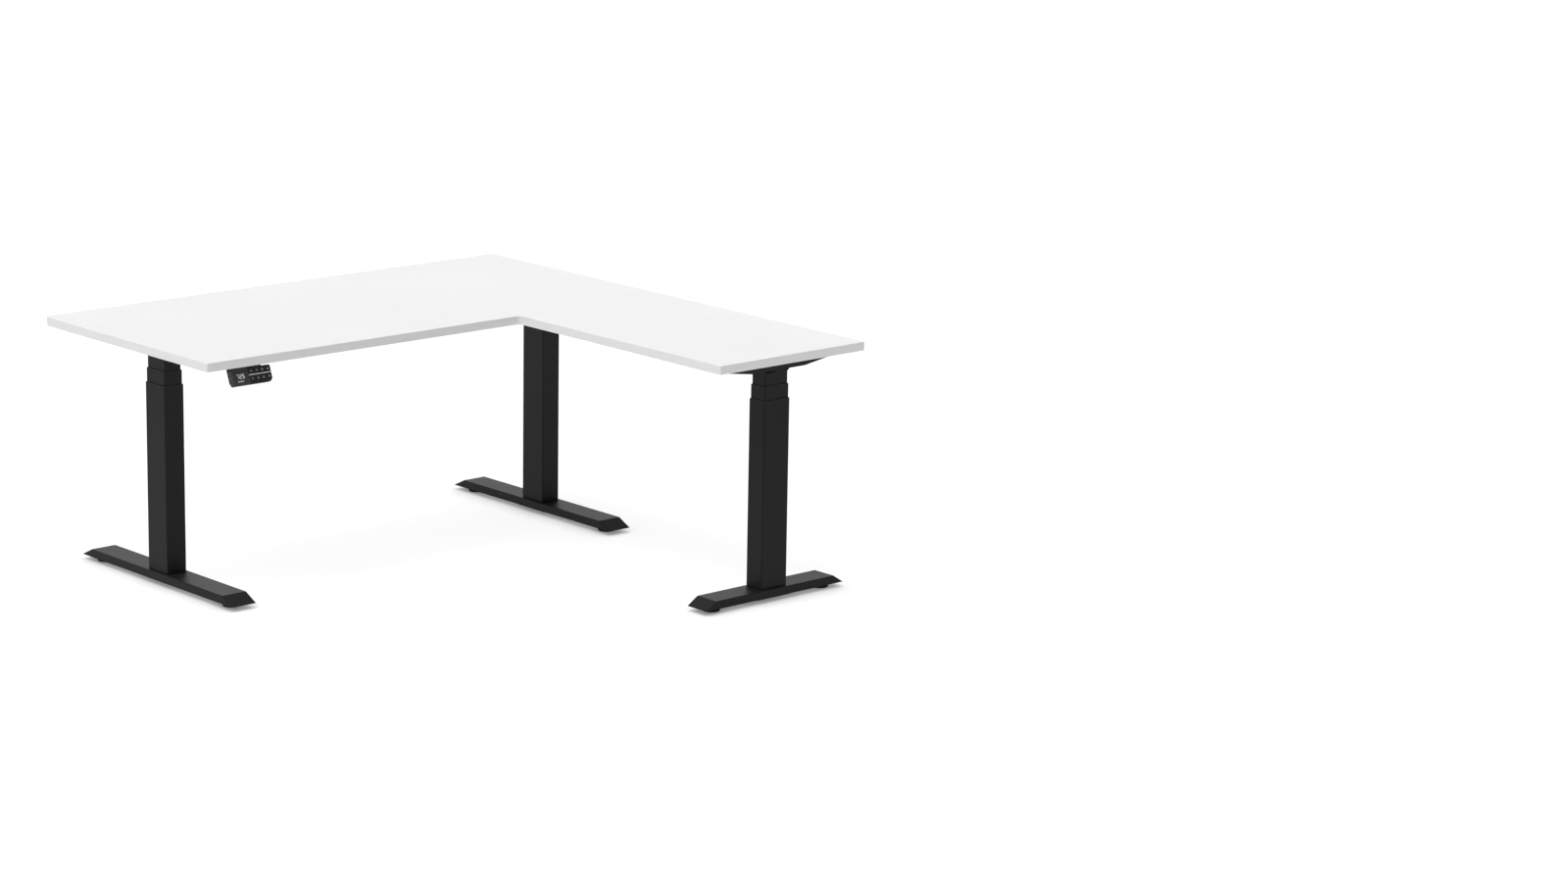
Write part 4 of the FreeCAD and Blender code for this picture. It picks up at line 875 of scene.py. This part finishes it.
class DESK_OT_glides(bpy.types.Operator):
    """Build the six levelling glides"""

    bl_idname = "standing_desk.glides"
    bl_label = "Levelling glides"

    def execute(self, context):
        s = fittings()
        for leg in LEGS:
            for side in ("near", "far"):
                self.glide(f"glide_{leg}_{side}", s)
        return {"FINISHED"}

    def glide(self, name, s):
        low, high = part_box(name)
        centre = Matrix.Translation(((low.x + high.x) / 2, (low.y + high.y) / 2, low.z))
        outer = (high.x - low.x) / 2

        def ribbed(angle):
            return outer - s.rib_depth * (0.5 + 0.5 * math.cos(s.grip_ribs * angle))

        # Foot, ribbed rim, shoulder, neck and collar, from the floor upwards.
        pad = turned(((18 * MM, 0.0), (outer - 3.2 * MM, 0.0), (outer - 1.8 * MM, 0.3 * MM),
                      (outer - 1.0 * MM, 1.0 * MM), (ribbed, 1.8 * MM), (ribbed, 5.4 * MM),
                      (outer - 1.1 * MM, 6.3 * MM), (outer - 2.4 * MM, 6.6 * MM),
                      (outer - 4.5 * MM, 8.6 * MM), (13.5 * MM, 10.2 * MM),
                      (10 * MM, 10.5 * MM), (9.4 * MM, 11.0 * MM), (9.2 * MM, 11.4 * MM),
                      (6.0 * MM, 11.5 * MM)), PAD_SEGMENTS)
        made = Shape().add(pad, centre).make(f"{name}_pad", "pad", name, "glide_pad", 30.0)
        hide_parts(name)
        root = STEM_RADIUS - s.thread_depth
        top = high.z - low.z
        stem = thread(root, STEM_RADIUS, s.stem_pitch, STEM_START, top - STEM_TIP)
        flats = hexagon(WRENCH_FLATS)
        nut = turned(((hexagon(6.0 * MM), 11.45 * MM), (flats, 11.6 * MM), (flats, 12.6 * MM),
                      (3.2 * MM, 12.9 * MM)), STEM_SEGMENTS)
        tip = turned(((root, 31 * MM), (2.4 * MM, 31.95 * MM)), STEM_SEGMENTS)
        body = Shape().add(stem, centre).add(nut, centre).add(tip, centre)
        body.make(f"{name}_stem", "stem", name, "dark_screws")


HEAD_SEGMENTS = 48
CROSS_SEGMENTS = 64
SHANK_SEGMENTS = 16
SHANK_STEPS = 4
SHANK_END = 0.1 * MM
CREST = 0.985


def button_head(radius, height, key):
    """A round-topped head with a hexagon recess, its seat on z = 0 and its top at -height."""
    profile = [(radius * 0.9, 0.0), (radius, -0.12 * height), (radius * 0.985, -0.35 * height),
               (radius * 0.9, -0.65 * height), (radius * 0.76, -0.88 * height),
               (radius * 0.64, -height), (hexagon(key * 1.1), -height),
               (hexagon(key), -0.93 * height), (hexagon(key), -0.4 * height),
               (key * 0.2, -0.3 * height)]
    return turned(profile, HEAD_SEGMENTS)


def pan_head(radius, height):
    """A pan head with a cross recess, its seat on z = 0 and its top at -height."""
    arm, slit = radius * 0.58, radius * 0.26
    profile = [(radius * 0.92, 0.0), (radius, -0.15 * height), (radius, -0.4 * height),
               (radius * 0.93, -0.72 * height), (radius * 0.8, -0.93 * height),
               (radius * 0.66, -height), (cross(arm, slit), -height),
               (cross(arm * 0.9, slit * 0.9), -0.55 * height), (radius * 0.1, -0.4 * height)]
    return turned(profile, CROSS_SEGMENTS)


class DESK_OT_fasteners(bpy.types.Operator):
    """Build the bolts and screws of the frame"""

    bl_idname = "standing_desk.fasteners"
    bl_label = "Bolts and screws"

    def execute(self, context):
        self.upright("foot_bolts", "base", 4.5 * MM, lambda r, h: button_head(r, h, 5 * MM),
                     4 * MM)
        self.upright("top_screws", "desk", 2.6 * MM, pan_head, 2.25 * MM)
        self.sideways("rail_bolts", "desk", 2.6 * MM, 3 * MM)
        return {"FINISHED"}

    def upright(self, node, body, head_height, head, shank_radius):
        shape = Shape()
        for low, high in loose_parts(node):
            radius = (high.x - low.x) / 2
            seat = low.z + head_height
            centre = Matrix.Translation(((low.x + high.x) / 2, (low.y + high.y) / 2, seat))
            shape.add(head(radius, head_height), centre)
            shank = thread(shank_radius * 0.78, shank_radius * CREST, 1.4 * MM, 0.0,
                           high.z - seat - SHANK_END, SHANK_SEGMENTS, SHANK_STEPS)
            shape.add(shank, centre)
        made = shape.make(f"{node}_turned", "zinc", body, "dark_screws")
        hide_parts(node)

    def sideways(self, node, body, head_height, shank_radius):
        """Bolts that lie along X or Y; each head is at its solid's wider end."""
        shape = Shape()
        middle = middle_of("crossbars_main")
        for low, high in loose_parts(node):
            span = high - low
            along = 0 if span.x > span.y else 1
            radius = span.z / 2
            centre = (low + high) / 2
            if along == 0:
                inward = 1 if centre.x < middle.x else -1
            else:
                inward = 1 if centre.y < (middle.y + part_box("foot_return")[0].y) / 2 else -1
            way = Vector((inward, 0, 0)) if along == 0 else Vector((0, inward, 0))
            tip = low[along] if inward > 0 else high[along]
            seat = centre.copy()
            seat[along] = (high[along] if inward > 0 else low[along]) - inward * head_height
            turn = Vector((0, 0, -1)).rotation_difference(way).to_matrix().to_4x4()
            place = Matrix.Translation(seat) @ turn
            shape.add(button_head(radius, head_height, 4 * MM), place)
            shape.add(thread(shank_radius * 0.8, shank_radius * CREST, 1.25 * MM, 0.0,
                             abs(tip - seat[along]) - SHANK_END, SHANK_SEGMENTS, SHANK_STEPS),
                      place)
        made = shape.make(f"{node}_turned", "zinc", body, "dark_screws")
        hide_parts(node)


# ---------------------------------------------------------------- control box


BOX_TAB = 14 * MM
SOCKETS = 4
FIRST_SOCKET = 30 * MM
SOCKET_PITCH = 20 * MM
SOCKET_OUTSIDE = (13.7 * MM, 9.7 * MM)
SOCKET_INSIDE = (11.4 * MM, 7.4 * MM)
PINS_PER_ROW = 4
PIN_PITCH = 2.5 * MM
PIN_ROW = 1.8 * MM
PIN_PROFILE = ((0.45 * MM, 0.0), (0.45 * MM, 4 * MM), (0.2 * MM, 4.5 * MM))
INLET_INSET = 35 * MM
INLET_RIM = ((-13.2, -9.6), (13.2, -9.6), (13.2, 4.6), (8.6, 9.6), (-8.6, 9.6), (-13.2, 4.6))
INLET_HOLE = ((-11.6, -8.0), (11.6, -8.0), (11.6, 3.8), (7.8, 8.0), (-7.8, 8.0), (-11.6, 3.8))
BLADES = ((-7, -1.5), (7, -1.5), (0, 2.5))
RIBS = 12
RIB_PITCH = 6 * MM
RIB_SIZE = (2.2 * MM, 64 * MM, 0.8 * MM)
LID_DROP = 9 * MM
FACING_FRONT = Matrix(((1, 0, 0, 0), (0, 0, 1, 0), (0, 1, 0, 0), (0, 0, 0, 1)))
TOWARDS_FRONT = Matrix.Rotation(math.pi / 2, 4, "X")


class DESK_OT_control_box(bpy.types.Operator):
    """Finish the control box and fill its sockets"""

    bl_idname = "standing_desk.control_box"
    bl_label = "Control box"

    def execute(self, context):
        coat_nodes("casing", "control_box")
        low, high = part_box("control_box")
        left, right, front = low.x + BOX_TAB, high.x - BOX_TAB, low.y
        middle = (low.z + high.z) / 2
        sockets, pins = Shape(), Shape()
        for i in range(SOCKETS):
            self.socket(left + FIRST_SOCKET + i * SOCKET_PITCH, front, middle, sockets, pins)
        self.inlet(right - INLET_INSET, front, middle, sockets, pins)
        sockets.make("box_sockets", "nylon", "desk", "box_plastic")
        pins.make("box_pins", "pin", "desk", "bare_steel")
        self.ribs((left + right) / 2, (low.y + high.y) / 2, low.z)
        self.lid_lip(left, right, low, high)
        return {"FINISHED"}

    def socket(self, x, front, middle, sockets, pins):
        """A hooded socket with two rows of pins."""
        hood = flat_curve("hood", [box_outline(0, 0, *SOCKET_OUTSIDE, 1.2 * MM),
                                   box_outline(0, 0, *SOCKET_INSIDE, 0.6 * MM)],
                          6 * MM, 0.3 * MM)
        sockets.add(hood, Matrix.Translation((x, front + 3.4 * MM, middle)) @ FACING_FRONT)
        back = rounded_box(11.6 * MM, 7.6 * MM, 1.2 * MM, 0.5 * MM, 0.1 * MM)
        sockets.add(back, Matrix.Translation((x, front + 6.0 * MM, middle)) @ FACING_FRONT)
        for row in (-1, 1):
            for column in range(PINS_PER_ROW):
                spot = (x + (column - (PINS_PER_ROW - 1) / 2) * PIN_PITCH, front + 6.1 * MM,
                        middle + row * PIN_ROW)
                pins.add(turned(PIN_PROFILE, 10), Matrix.Translation(spot) @ TOWARDS_FRONT)

    def inlet(self, x, front, middle, sockets, pins):
        """The mains inlet: a six-sided hood with three blades."""
        outlines = [rounded_outline([(px * MM, pz * MM) for px, pz in corners], 1.0 * MM)
                    for corners in (INLET_RIM, INLET_HOLE)]
        hood = flat_curve("inlet", outlines, 8 * MM, 0.3 * MM)
        sockets.add(hood, Matrix.Translation((x, front + 4.3 * MM, middle)) @ FACING_FRONT)
        plate = flat_curve("inlet_back", outlines[:1], 1.2 * MM, 0.2 * MM)
        sockets.add(plate, Matrix.Translation((x, front + 8.2 * MM, middle)) @ FACING_FRONT)
        for px, pz in BLADES:
            blade = rounded_box(2 * MM, 4 * MM, 7 * MM, 0.5 * MM, 0.3 * MM)
            spot = (x + px * MM, front + 8.0 * MM, middle + pz * MM)
            pins.add(blade, Matrix.Translation(spot) @ TOWARDS_FRONT)

    def ribs(self, x, y, under):
        """Grip ribs across the underside."""
        shape = Shape()
        for i in range(RIBS):
            spot = (x + (i - (RIBS - 1) / 2) * RIB_PITCH, y, under - 0.5 * MM)
            shape.add(rounded_box(*RIB_SIZE, 1.05 * MM, 0.4 * MM), Matrix.Translation(spot))
        shape.make("box_ribs", "casing", "desk", "box_plastic")

    def lid_lip(self, left, right, low, high):
        """The lip where the lid meets the tray, all the way round."""
        wide, deep = right - left, high.y - low.y
        outlines = [box_outline(0, 0, wide + out, deep + out, corner)
                    for out, corner in ((0.5 * MM, 5 * MM), (-1.5 * MM, 4.2 * MM))]
        lip = flat_curve("seam", outlines, 0.9 * MM, 0.2 * MM)
        spot = ((left + right) / 2, (low.y + high.y) / 2, high.z - LID_DROP)
        Shape().add(lip, Matrix.Translation(spot)).make("box_lid_lip", "casing", "desk",
                                                        "box_plastic")


# ---------------------------------------------------------------- handset


class Handset:
    """The handset's own frame, read from its packed face and from how its keys move."""

    def __init__(self):
        press = next(j for j in frame["joints"] if j["name"] == "key_up_press")
        into = Vector(press["axis"]).normalized()
        self.into = into
        self.up = Vector((0.0, -into.z, into.y))
        low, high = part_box("handset_face")
        self.width = high.x - low.x
        self.sheet = PANEL_THICKNESS
        origin = Vector(((low.x + high.x) / 2, low.y, low.z - self.sheet * into.z))
        self.height = (high.z - origin.z) / self.up.z
        across = Vector((1, 0, 0))
        outward = -into
        self.place = Matrix(((across.x, self.up.x, outward.x, origin.x),
                             (across.y, self.up.y, outward.y, origin.y),
                             (across.z, self.up.z, outward.z, origin.z),
                             (0, 0, 0, 1)))

    def at(self, x=0.0, y=0.0, z=0.0):
        """A place on the face: x along it, y up it and z out of it."""
        return self.place @ Matrix.Translation((x, y, z))

    def slant(self):
        """Upper and lower ends, as X and Z, of the line between display and keys."""
        ends = ((DISPLAY[2][0], self.height), (DISPLAY[1][0] + 0.5, 0.0))
        return [(spot.x, spot.z) for spot in (self.at(x * MM, y).translation for x, y in ends)]

    def key(self, name):
        """The middle of a key on the face."""
        spot = self.place.inverted() @ middle_of(f"key_{name}")
        return spot.x, spot.y


# Everything on the handset is measured on its face, from the middle of the lower edge.
KEY_WIDTH = 13 * MM
KEY_HEIGHT = 10 * MM
KEY_DEPTH = 5.7 * MM
KEY_GAP = 0.3 * MM
CAP_DEPTH = 3.6 * MM
DISPLAY = ((-60, 5), (-8, 5), (-12, 42), (-60, 42))
PANEL_THICKNESS = 2 * MM
PANEL_CORNER = 3 * MM
PANEL_CUT = 8 * MM
WINDOW_SINK = 0.24 * MM
LINE = (27.7 * MM, 26.1 * MM, 73 * MM, 2.3 * MM, 0.4 * MM)
DIGITS_MIDDLE = (-36.3 * MM, 25.2 * MM)
WORD_START = (-47.5 * MM, 9.6 * MM)
WORD_SIZE = 5.2 * MM
WORD_BOLD = 0.16 * MM
DOT_RIM = 0.005 * MM
MARK_STROKE = 1.15 * MM
MARK_DIGIT = 6.4 * MM
SEGMENTS = {
    "0": "abcdef", "1": "bc", "2": "abged", "3": "abgcd", "4": "fgbc", "5": "afgcd",
    "6": "afgedc", "7": "abc", "8": "abcdefg", "9": "abcdfg",
}


class DESK_OT_handset(bpy.types.Operator):
    """Build the handset's panel, window, reading and printing"""

    bl_idname = "standing_desk.handset"
    bl_label = "Handset"

    def execute(self, context):
        s = fittings()
        hand = Handset()
        half, high = hand.width / 2, hand.height
        small, big = PANEL_CORNER, PANEL_CUT
        outer = [(-half + small, 0), (half - big, 0), (half, big), (half, high - small),
                 (half - small, high), (-half + small, high), (-half, high - small),
                 (-half, small)]
        outline = rounded_outline(outer, 1.0 * MM, 4)
        glass = rounded_outline([(x * MM, y * MM) for x, y in DISPLAY], 1.2 * MM, 5)
        holes = [glass]
        for name in KEY_NAMES:
            x, y = hand.key(name)
            holes.append(box_outline(x, y, KEY_WIDTH + 2 * KEY_GAP, KEY_HEIGHT + 2 * KEY_GAP,
                                     s.key_round + KEY_GAP))
        panel = flat_curve("panel", [outline] + holes, hand.sheet, s.panel_edge)
        made = Shape().add(panel, hand.at(z=-hand.sheet / 2)).make(
            "handset_front", "panel", "desk", "handset_panel", 40.0)
        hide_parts("handset_face")
        inner = [(x * 0.9965 - 0.00012, y) for x, y in glass]
        window = flat_curve("window", [inner], 1.7 * MM, 0.15 * MM)
        made = Shape().add(window, hand.at(z=-1.1 * MM)).make(
            "handset_glass", "window", "desk", "handset_window")
        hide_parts("handset_display")
        coat_nodes("case", "handset_case")
        coat_nodes("board", "handset_board")
        self.reading(hand, s)
        line = flat_curve("line", [box_outline(*LINE)], s.print_height, 0.01 * MM)
        Shape().add(line, hand.at()).make("handset_line", "print", "desk")
        boss = rounded_box(9 * MM, 6.5 * MM, 1.6 * MM, 1.8 * MM, 0.4 * MM)
        side = Matrix.Rotation(-math.pi / 2, 4, "Y")
        place = hand.at(-half + 0.4 * MM, high * 0.5, -8 * MM) @ side
        Shape().add(boss, place).make("handset_socket_cover", "plug", "desk", "handset_shell")
        return {"FINISHED"}

    def reading(self, hand, s):
        """Seven-segment digits and the word below them on the window."""
        tall = s.digit_height
        wide, stroke = tall * 0.5, tall * 0.12
        pitch = tall * 0.86
        lit, unlit = Shape(), Shape()
        text = s.reading
        digits = [c for c in text if c != "."]
        total = pitch * (len(digits) - 1) + wide
        left = DIGITS_MIDDLE[0] - total / 2
        low = DIGITS_MIDDLE[1] - tall / 2
        corners = {"a": ((0, 1), (1, 1)), "b": ((1, 1), (1, 0.5)), "c": ((1, 0.5), (1, 0)),
                   "d": ((0, 0), (1, 0)), "e": ((0, 0.5), (0, 0)), "f": ((0, 1), (0, 0.5)),
                   "g": ((0, 0.5), (1, 0.5))}
        index = 0
        for letter in text:
            if letter == ".":
                spot = (left + index * pitch - (pitch - wide) / 2, low + stroke * 0.4)
                dot = flat_curve("dot", [box_outline(*spot, stroke, stroke, stroke * 0.45)],
                                 s.print_height, DOT_RIM)
                lit.add(dot, hand.at(z=-WINDOW_SINK))
                continue
            for segment, ends in corners.items():
                (x0, y0), (x1, y1) = [(left + index * pitch + x * wide, low + y * tall)
                                      for x, y in ends]
                gap = Vector((x1 - x0, y1 - y0)).normalized() * stroke * 0.12
                outline = bar((x0 + gap.x, y0 + gap.y), (x1 - gap.x, y1 - gap.y), stroke)
                shape = flat_curve("segment", [outline], s.print_height, DOT_RIM)
                group = lit if segment in SEGMENTS[letter] else unlit
                group.add(shape, hand.at(z=-WINDOW_SINK))
            index += 1
        lit.make("handset_digits", "lit", "desk", "handset_window")
        unlit.make("handset_unlit_segments", "unlit", "desk", "handset_window")
        word = words("HEIGHT", WORD_SIZE, s.print_height, WORD_BOLD)
        Shape().add(word, hand.at(*WORD_START, -WINDOW_SINK)).make("handset_unit", "print",
                                                                   "desk")


def words(text, size, thickness, bold=0.0):
    """Plain lettering as a thin raised shape; bold lettering is spaced out to match."""
    data = bpy.data.curves.new("words", "FONT")
    data.body = text
    data.size = size
    data.extrude = thickness / 2
    data.offset = bold
    data.space_character = 1.0 + bold / (2 * MM)
    holder = bpy.data.objects.new("words", data)
    mesh = bpy.data.meshes.new_from_object(holder)
    shape = Shape()
    shape.points = [vertex.co.copy() for vertex in mesh.vertices]
    shape.faces = [list(polygon.vertices) for polygon in mesh.polygons]
    bpy.data.objects.remove(holder)
    bpy.data.curves.remove(data)
    bpy.data.meshes.remove(mesh)
    return shape


class DESK_OT_keys(bpy.types.Operator):
    """Build the eight keys and the marks on them"""

    bl_idname = "standing_desk.keys"
    bl_label = "Keys"

    def execute(self, context):
        s = fittings()
        hand = Handset()
        for name in KEY_NAMES:
            self.key(name, hand, s)
        return {"FINISHED"}

    def key(self, name, hand, s):
        x, y = hand.key(name)
        node = f"key_{name}"
        cap = flat_curve("cap", [box_outline(0, 0, KEY_WIDTH, KEY_HEIGHT, s.key_round)],
                         CAP_DEPTH, s.key_edge)
        stem = rounded_box(7 * MM, 5 * MM, KEY_DEPTH - CAP_DEPTH + 0.2 * MM, 1 * MM, 0.2 * MM)
        shape = Shape().add(cap, hand.at(x, y, -CAP_DEPTH / 2))
        shape.add(stem, hand.at(x, y, -KEY_DEPTH))
        made = shape.make(f"{node}_cap", "key", node, "handset_panel", 40.0)
        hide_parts(node)
        mark = self.mark(name, s)
        Shape().add(mark, hand.at(x, y)).make(f"{node}_mark", "print", node)

    def mark(self, name, s):
        """The printed mark of a key, about its middle."""
        thick, rim = s.print_height, DOT_RIM
        shape = Shape()
        still = Matrix.Identity(4)

        def line(*points):
            for start, end in zip(points, points[1:]):
                outline = bar([a * MM for a in start], [a * MM for a in end], MARK_STROKE)
                shape.add(flat_curve("stroke", [outline], thick, rim), still)

        if name == "up":
            line((-2.4, -1.1), (0, 1.3), (2.4, -1.1))
        elif name == "down":
            line((-2.4, 1.1), (0, -1.3), (2.4, 1.1))
        elif name == "memory":
            line((-1.6, -2.1), (-1.6, 2.1), (1.6, 2.1), (1.6, -2.1), (0, -0.7), (-1.6, -2.1))
        elif name == "timer":
            ring = [[(r * MM * math.cos(a), r * MM * math.sin(a))
                     for a in [2 * math.pi * i / 28 for i in range(28)]] for r in (2.3, 1.65)]
            shape.add(flat_curve("dial", ring, thick, rim), still)
            line((0, -0.2), (0, 1.3))
            line((-0.2, 0), (1.1, 0))
        else:
            digit = {"one": "1", "two": "2", "three": "3", "four": "4"}[name]
            text = words(digit, MARK_DIGIT, thick, WORD_BOLD)
            low = min(p.x for p in text.points)
            high = max(p.x for p in text.points)
            tall = max(p.y for p in text.points)
            shape.add(text, Matrix.Translation((-(low + high) / 2, -tall / 2, 0)))
        return shape


# ---------------------------------------------------------------- stage


BACKDROP_WAY = (0.66, 0.75, 0.0)
HORIZON_GLOW = 0.8
KEY_SPREAD = math.radians(50)
KEY_TILT = math.radians(-2)
SENSOR_WIDTH = 36.0
FAR_LIMIT = 200.0


class DESK_OT_stage(bpy.types.Operator):
    """Set the floor, the light and the camera"""

    bl_idname = "standing_desk.stage"
    bl_label = "Stage"

    def execute(self, context):
        s = context.scene.desk_stage
        self.floor(s)
        self.light(context, s)
        self.camera(context, s)
        context.scene.view_settings.view_transform = "Standard"
        return {"FINISHED"}

    def floor(self, s):
        half = s.floor_size / 2
        mesh = bpy.data.meshes.new("floor")
        mesh.from_pydata([(-half, -half, 0), (half, -half, 0), (half, half, 0),
                          (-half, half, 0)], [], [(0, 1, 2, 3)])
        mesh.materials.append(pale_floor("studio floor", s.floor_tone, s.floor_glow))
        floor = bpy.data.objects.new("floor", mesh)
        bpy.context.scene.collection.objects.link(floor)

    def light(self, context, s):
        data = bpy.data.lights.new("key_light", "SUN")
        data.energy = s.sun_strength
        data.angle = KEY_SPREAD
        sun = bpy.data.objects.new("key_light", data)
        sun.rotation_euler = (KEY_TILT, -s.sun_lean, 0)
        context.scene.collection.objects.link(sun)
        world = bpy.data.worlds.new("soft_room")
        world.use_nodes = True
        tree = world.node_tree
        tree.nodes.clear()
        output = tree.nodes.new("ShaderNodeOutputWorld")
        sky = tree.nodes.new("ShaderNodeBackground")
        where = tree.nodes.new("ShaderNodeTexCoord")
        parts = tree.nodes.new("ShaderNodeSeparateXYZ")
        along = tree.nodes.new("ShaderNodeVectorMath")
        along.operation = "DOT_PRODUCT"
        along.inputs[1].default_value = BACKDROP_WAY
        wall = tree.nodes.new("ShaderNodeMapRange")
        low = tree.nodes.new("ShaderNodeMapRange")
        horizon = tree.nodes.new("ShaderNodeMapRange")
        for ramp, values in ((wall, (0.0, 0.75, 0.0, s.backdrop)), (low, (0.35, 0.8, 1.0, 0.0)),
                             (horizon, (0.02, 0.09, HORIZON_GLOW, s.sky))):
            ramp.interpolation_type = "SMOOTHSTEP"
            for index, value in enumerate(values, start=1):
                ramp.inputs[index].default_value = value
        lit = tree.nodes.new("ShaderNodeMath")
        lit.operation = "MULTIPLY"
        total = tree.nodes.new("ShaderNodeMath")
        total.operation = "ADD"
        for source, target in ((where.outputs["Generated"], parts.inputs[0]),
                               (where.outputs["Generated"], along.inputs[0]),
                               (along.outputs["Value"], wall.inputs[0]),
                               (parts.outputs["Z"], low.inputs[0]),
                               (parts.outputs["Z"], horizon.inputs[0]),
                               (wall.outputs[0], lit.inputs[0]), (low.outputs[0], lit.inputs[1]),
                               (lit.outputs[0], total.inputs[0]),
                               (horizon.outputs[0], total.inputs[1]),
                               (total.outputs[0], sky.inputs["Strength"])):
            tree.links.new(source, target)
        tree.links.new(sky.outputs[0], output.inputs[0])
        context.scene.world = world

    def camera(self, context, s):
        data = bpy.data.cameras.new("camera")
        data.lens = s.lens
        data.sensor_width = SENSOR_WIDTH
        data.clip_end = FAR_LIMIT
        data.dof.use_dof = False
        camera = bpy.data.objects.new("camera", data)
        pitch, roll, heading = s.camera_turn
        turn = (Matrix.Rotation(heading, 4, "Z") @ Matrix.Rotation(math.pi / 2 + pitch, 4, "X")
                @ Matrix.Rotation(roll, 4, "Z"))
        camera.rotation_euler = turn.to_euler()
        camera.location = s.camera_place
        context.scene.collection.objects.link(camera)
        context.scene.camera = camera


# ---------------------------------------------------------------- panel and registration


STEPS = (DESK_OT_top, DESK_OT_frame, DESK_OT_spindles, DESK_OT_welds, DESK_OT_glides,
         DESK_OT_fasteners, DESK_OT_control_box, DESK_OT_handset, DESK_OT_keys, DESK_OT_stage)


class DESK_PT_sidebar(bpy.types.Panel):
    """Steps and settings of the standing desk"""

    bl_idname = "DESK_PT_sidebar"
    bl_label = "Corner Standing Desk"
    bl_space_type = "VIEW_3D"
    bl_region_type = "UI"
    bl_category = "Standing Desk"

    def draw(self, context):
        for step in STEPS:
            self.layout.operator(step.bl_idname)
        for group in (context.scene.desk_finish, context.scene.desk_fittings,
                      context.scene.desk_stage):
            box = self.layout.box()
            for setting in group.__annotations__:
                box.prop(group, setting)


GROUPS = {"desk_finish": DeskFinish, "desk_fittings": DeskFittings, "desk_stage": DeskStage}


def register():
    for cls in (*GROUPS.values(), *STEPS, DESK_PT_sidebar):
        bpy.utils.register_class(cls)
    for name, cls in GROUPS.items():
        setattr(bpy.types.Scene, name, bpy.props.PointerProperty(type=cls))


def unregister():
    for name in GROUPS:
        delattr(bpy.types.Scene, name)
    for cls in reversed((*GROUPS.values(), *STEPS, DESK_PT_sidebar)):
        bpy.utils.unregister_class(cls)


def main():
    register()
    bpy.ops.standing_desk.top()
    bpy.ops.standing_desk.frame()
    bpy.ops.standing_desk.spindles()
    bpy.ops.standing_desk.welds()
    bpy.ops.standing_desk.glides()
    bpy.ops.standing_desk.fasteners()
    bpy.ops.standing_desk.control_box()
    bpy.ops.standing_desk.handset()
    bpy.ops.standing_desk.keys()
    bpy.ops.standing_desk.stage()


if __name__ == "__main__":
    main()
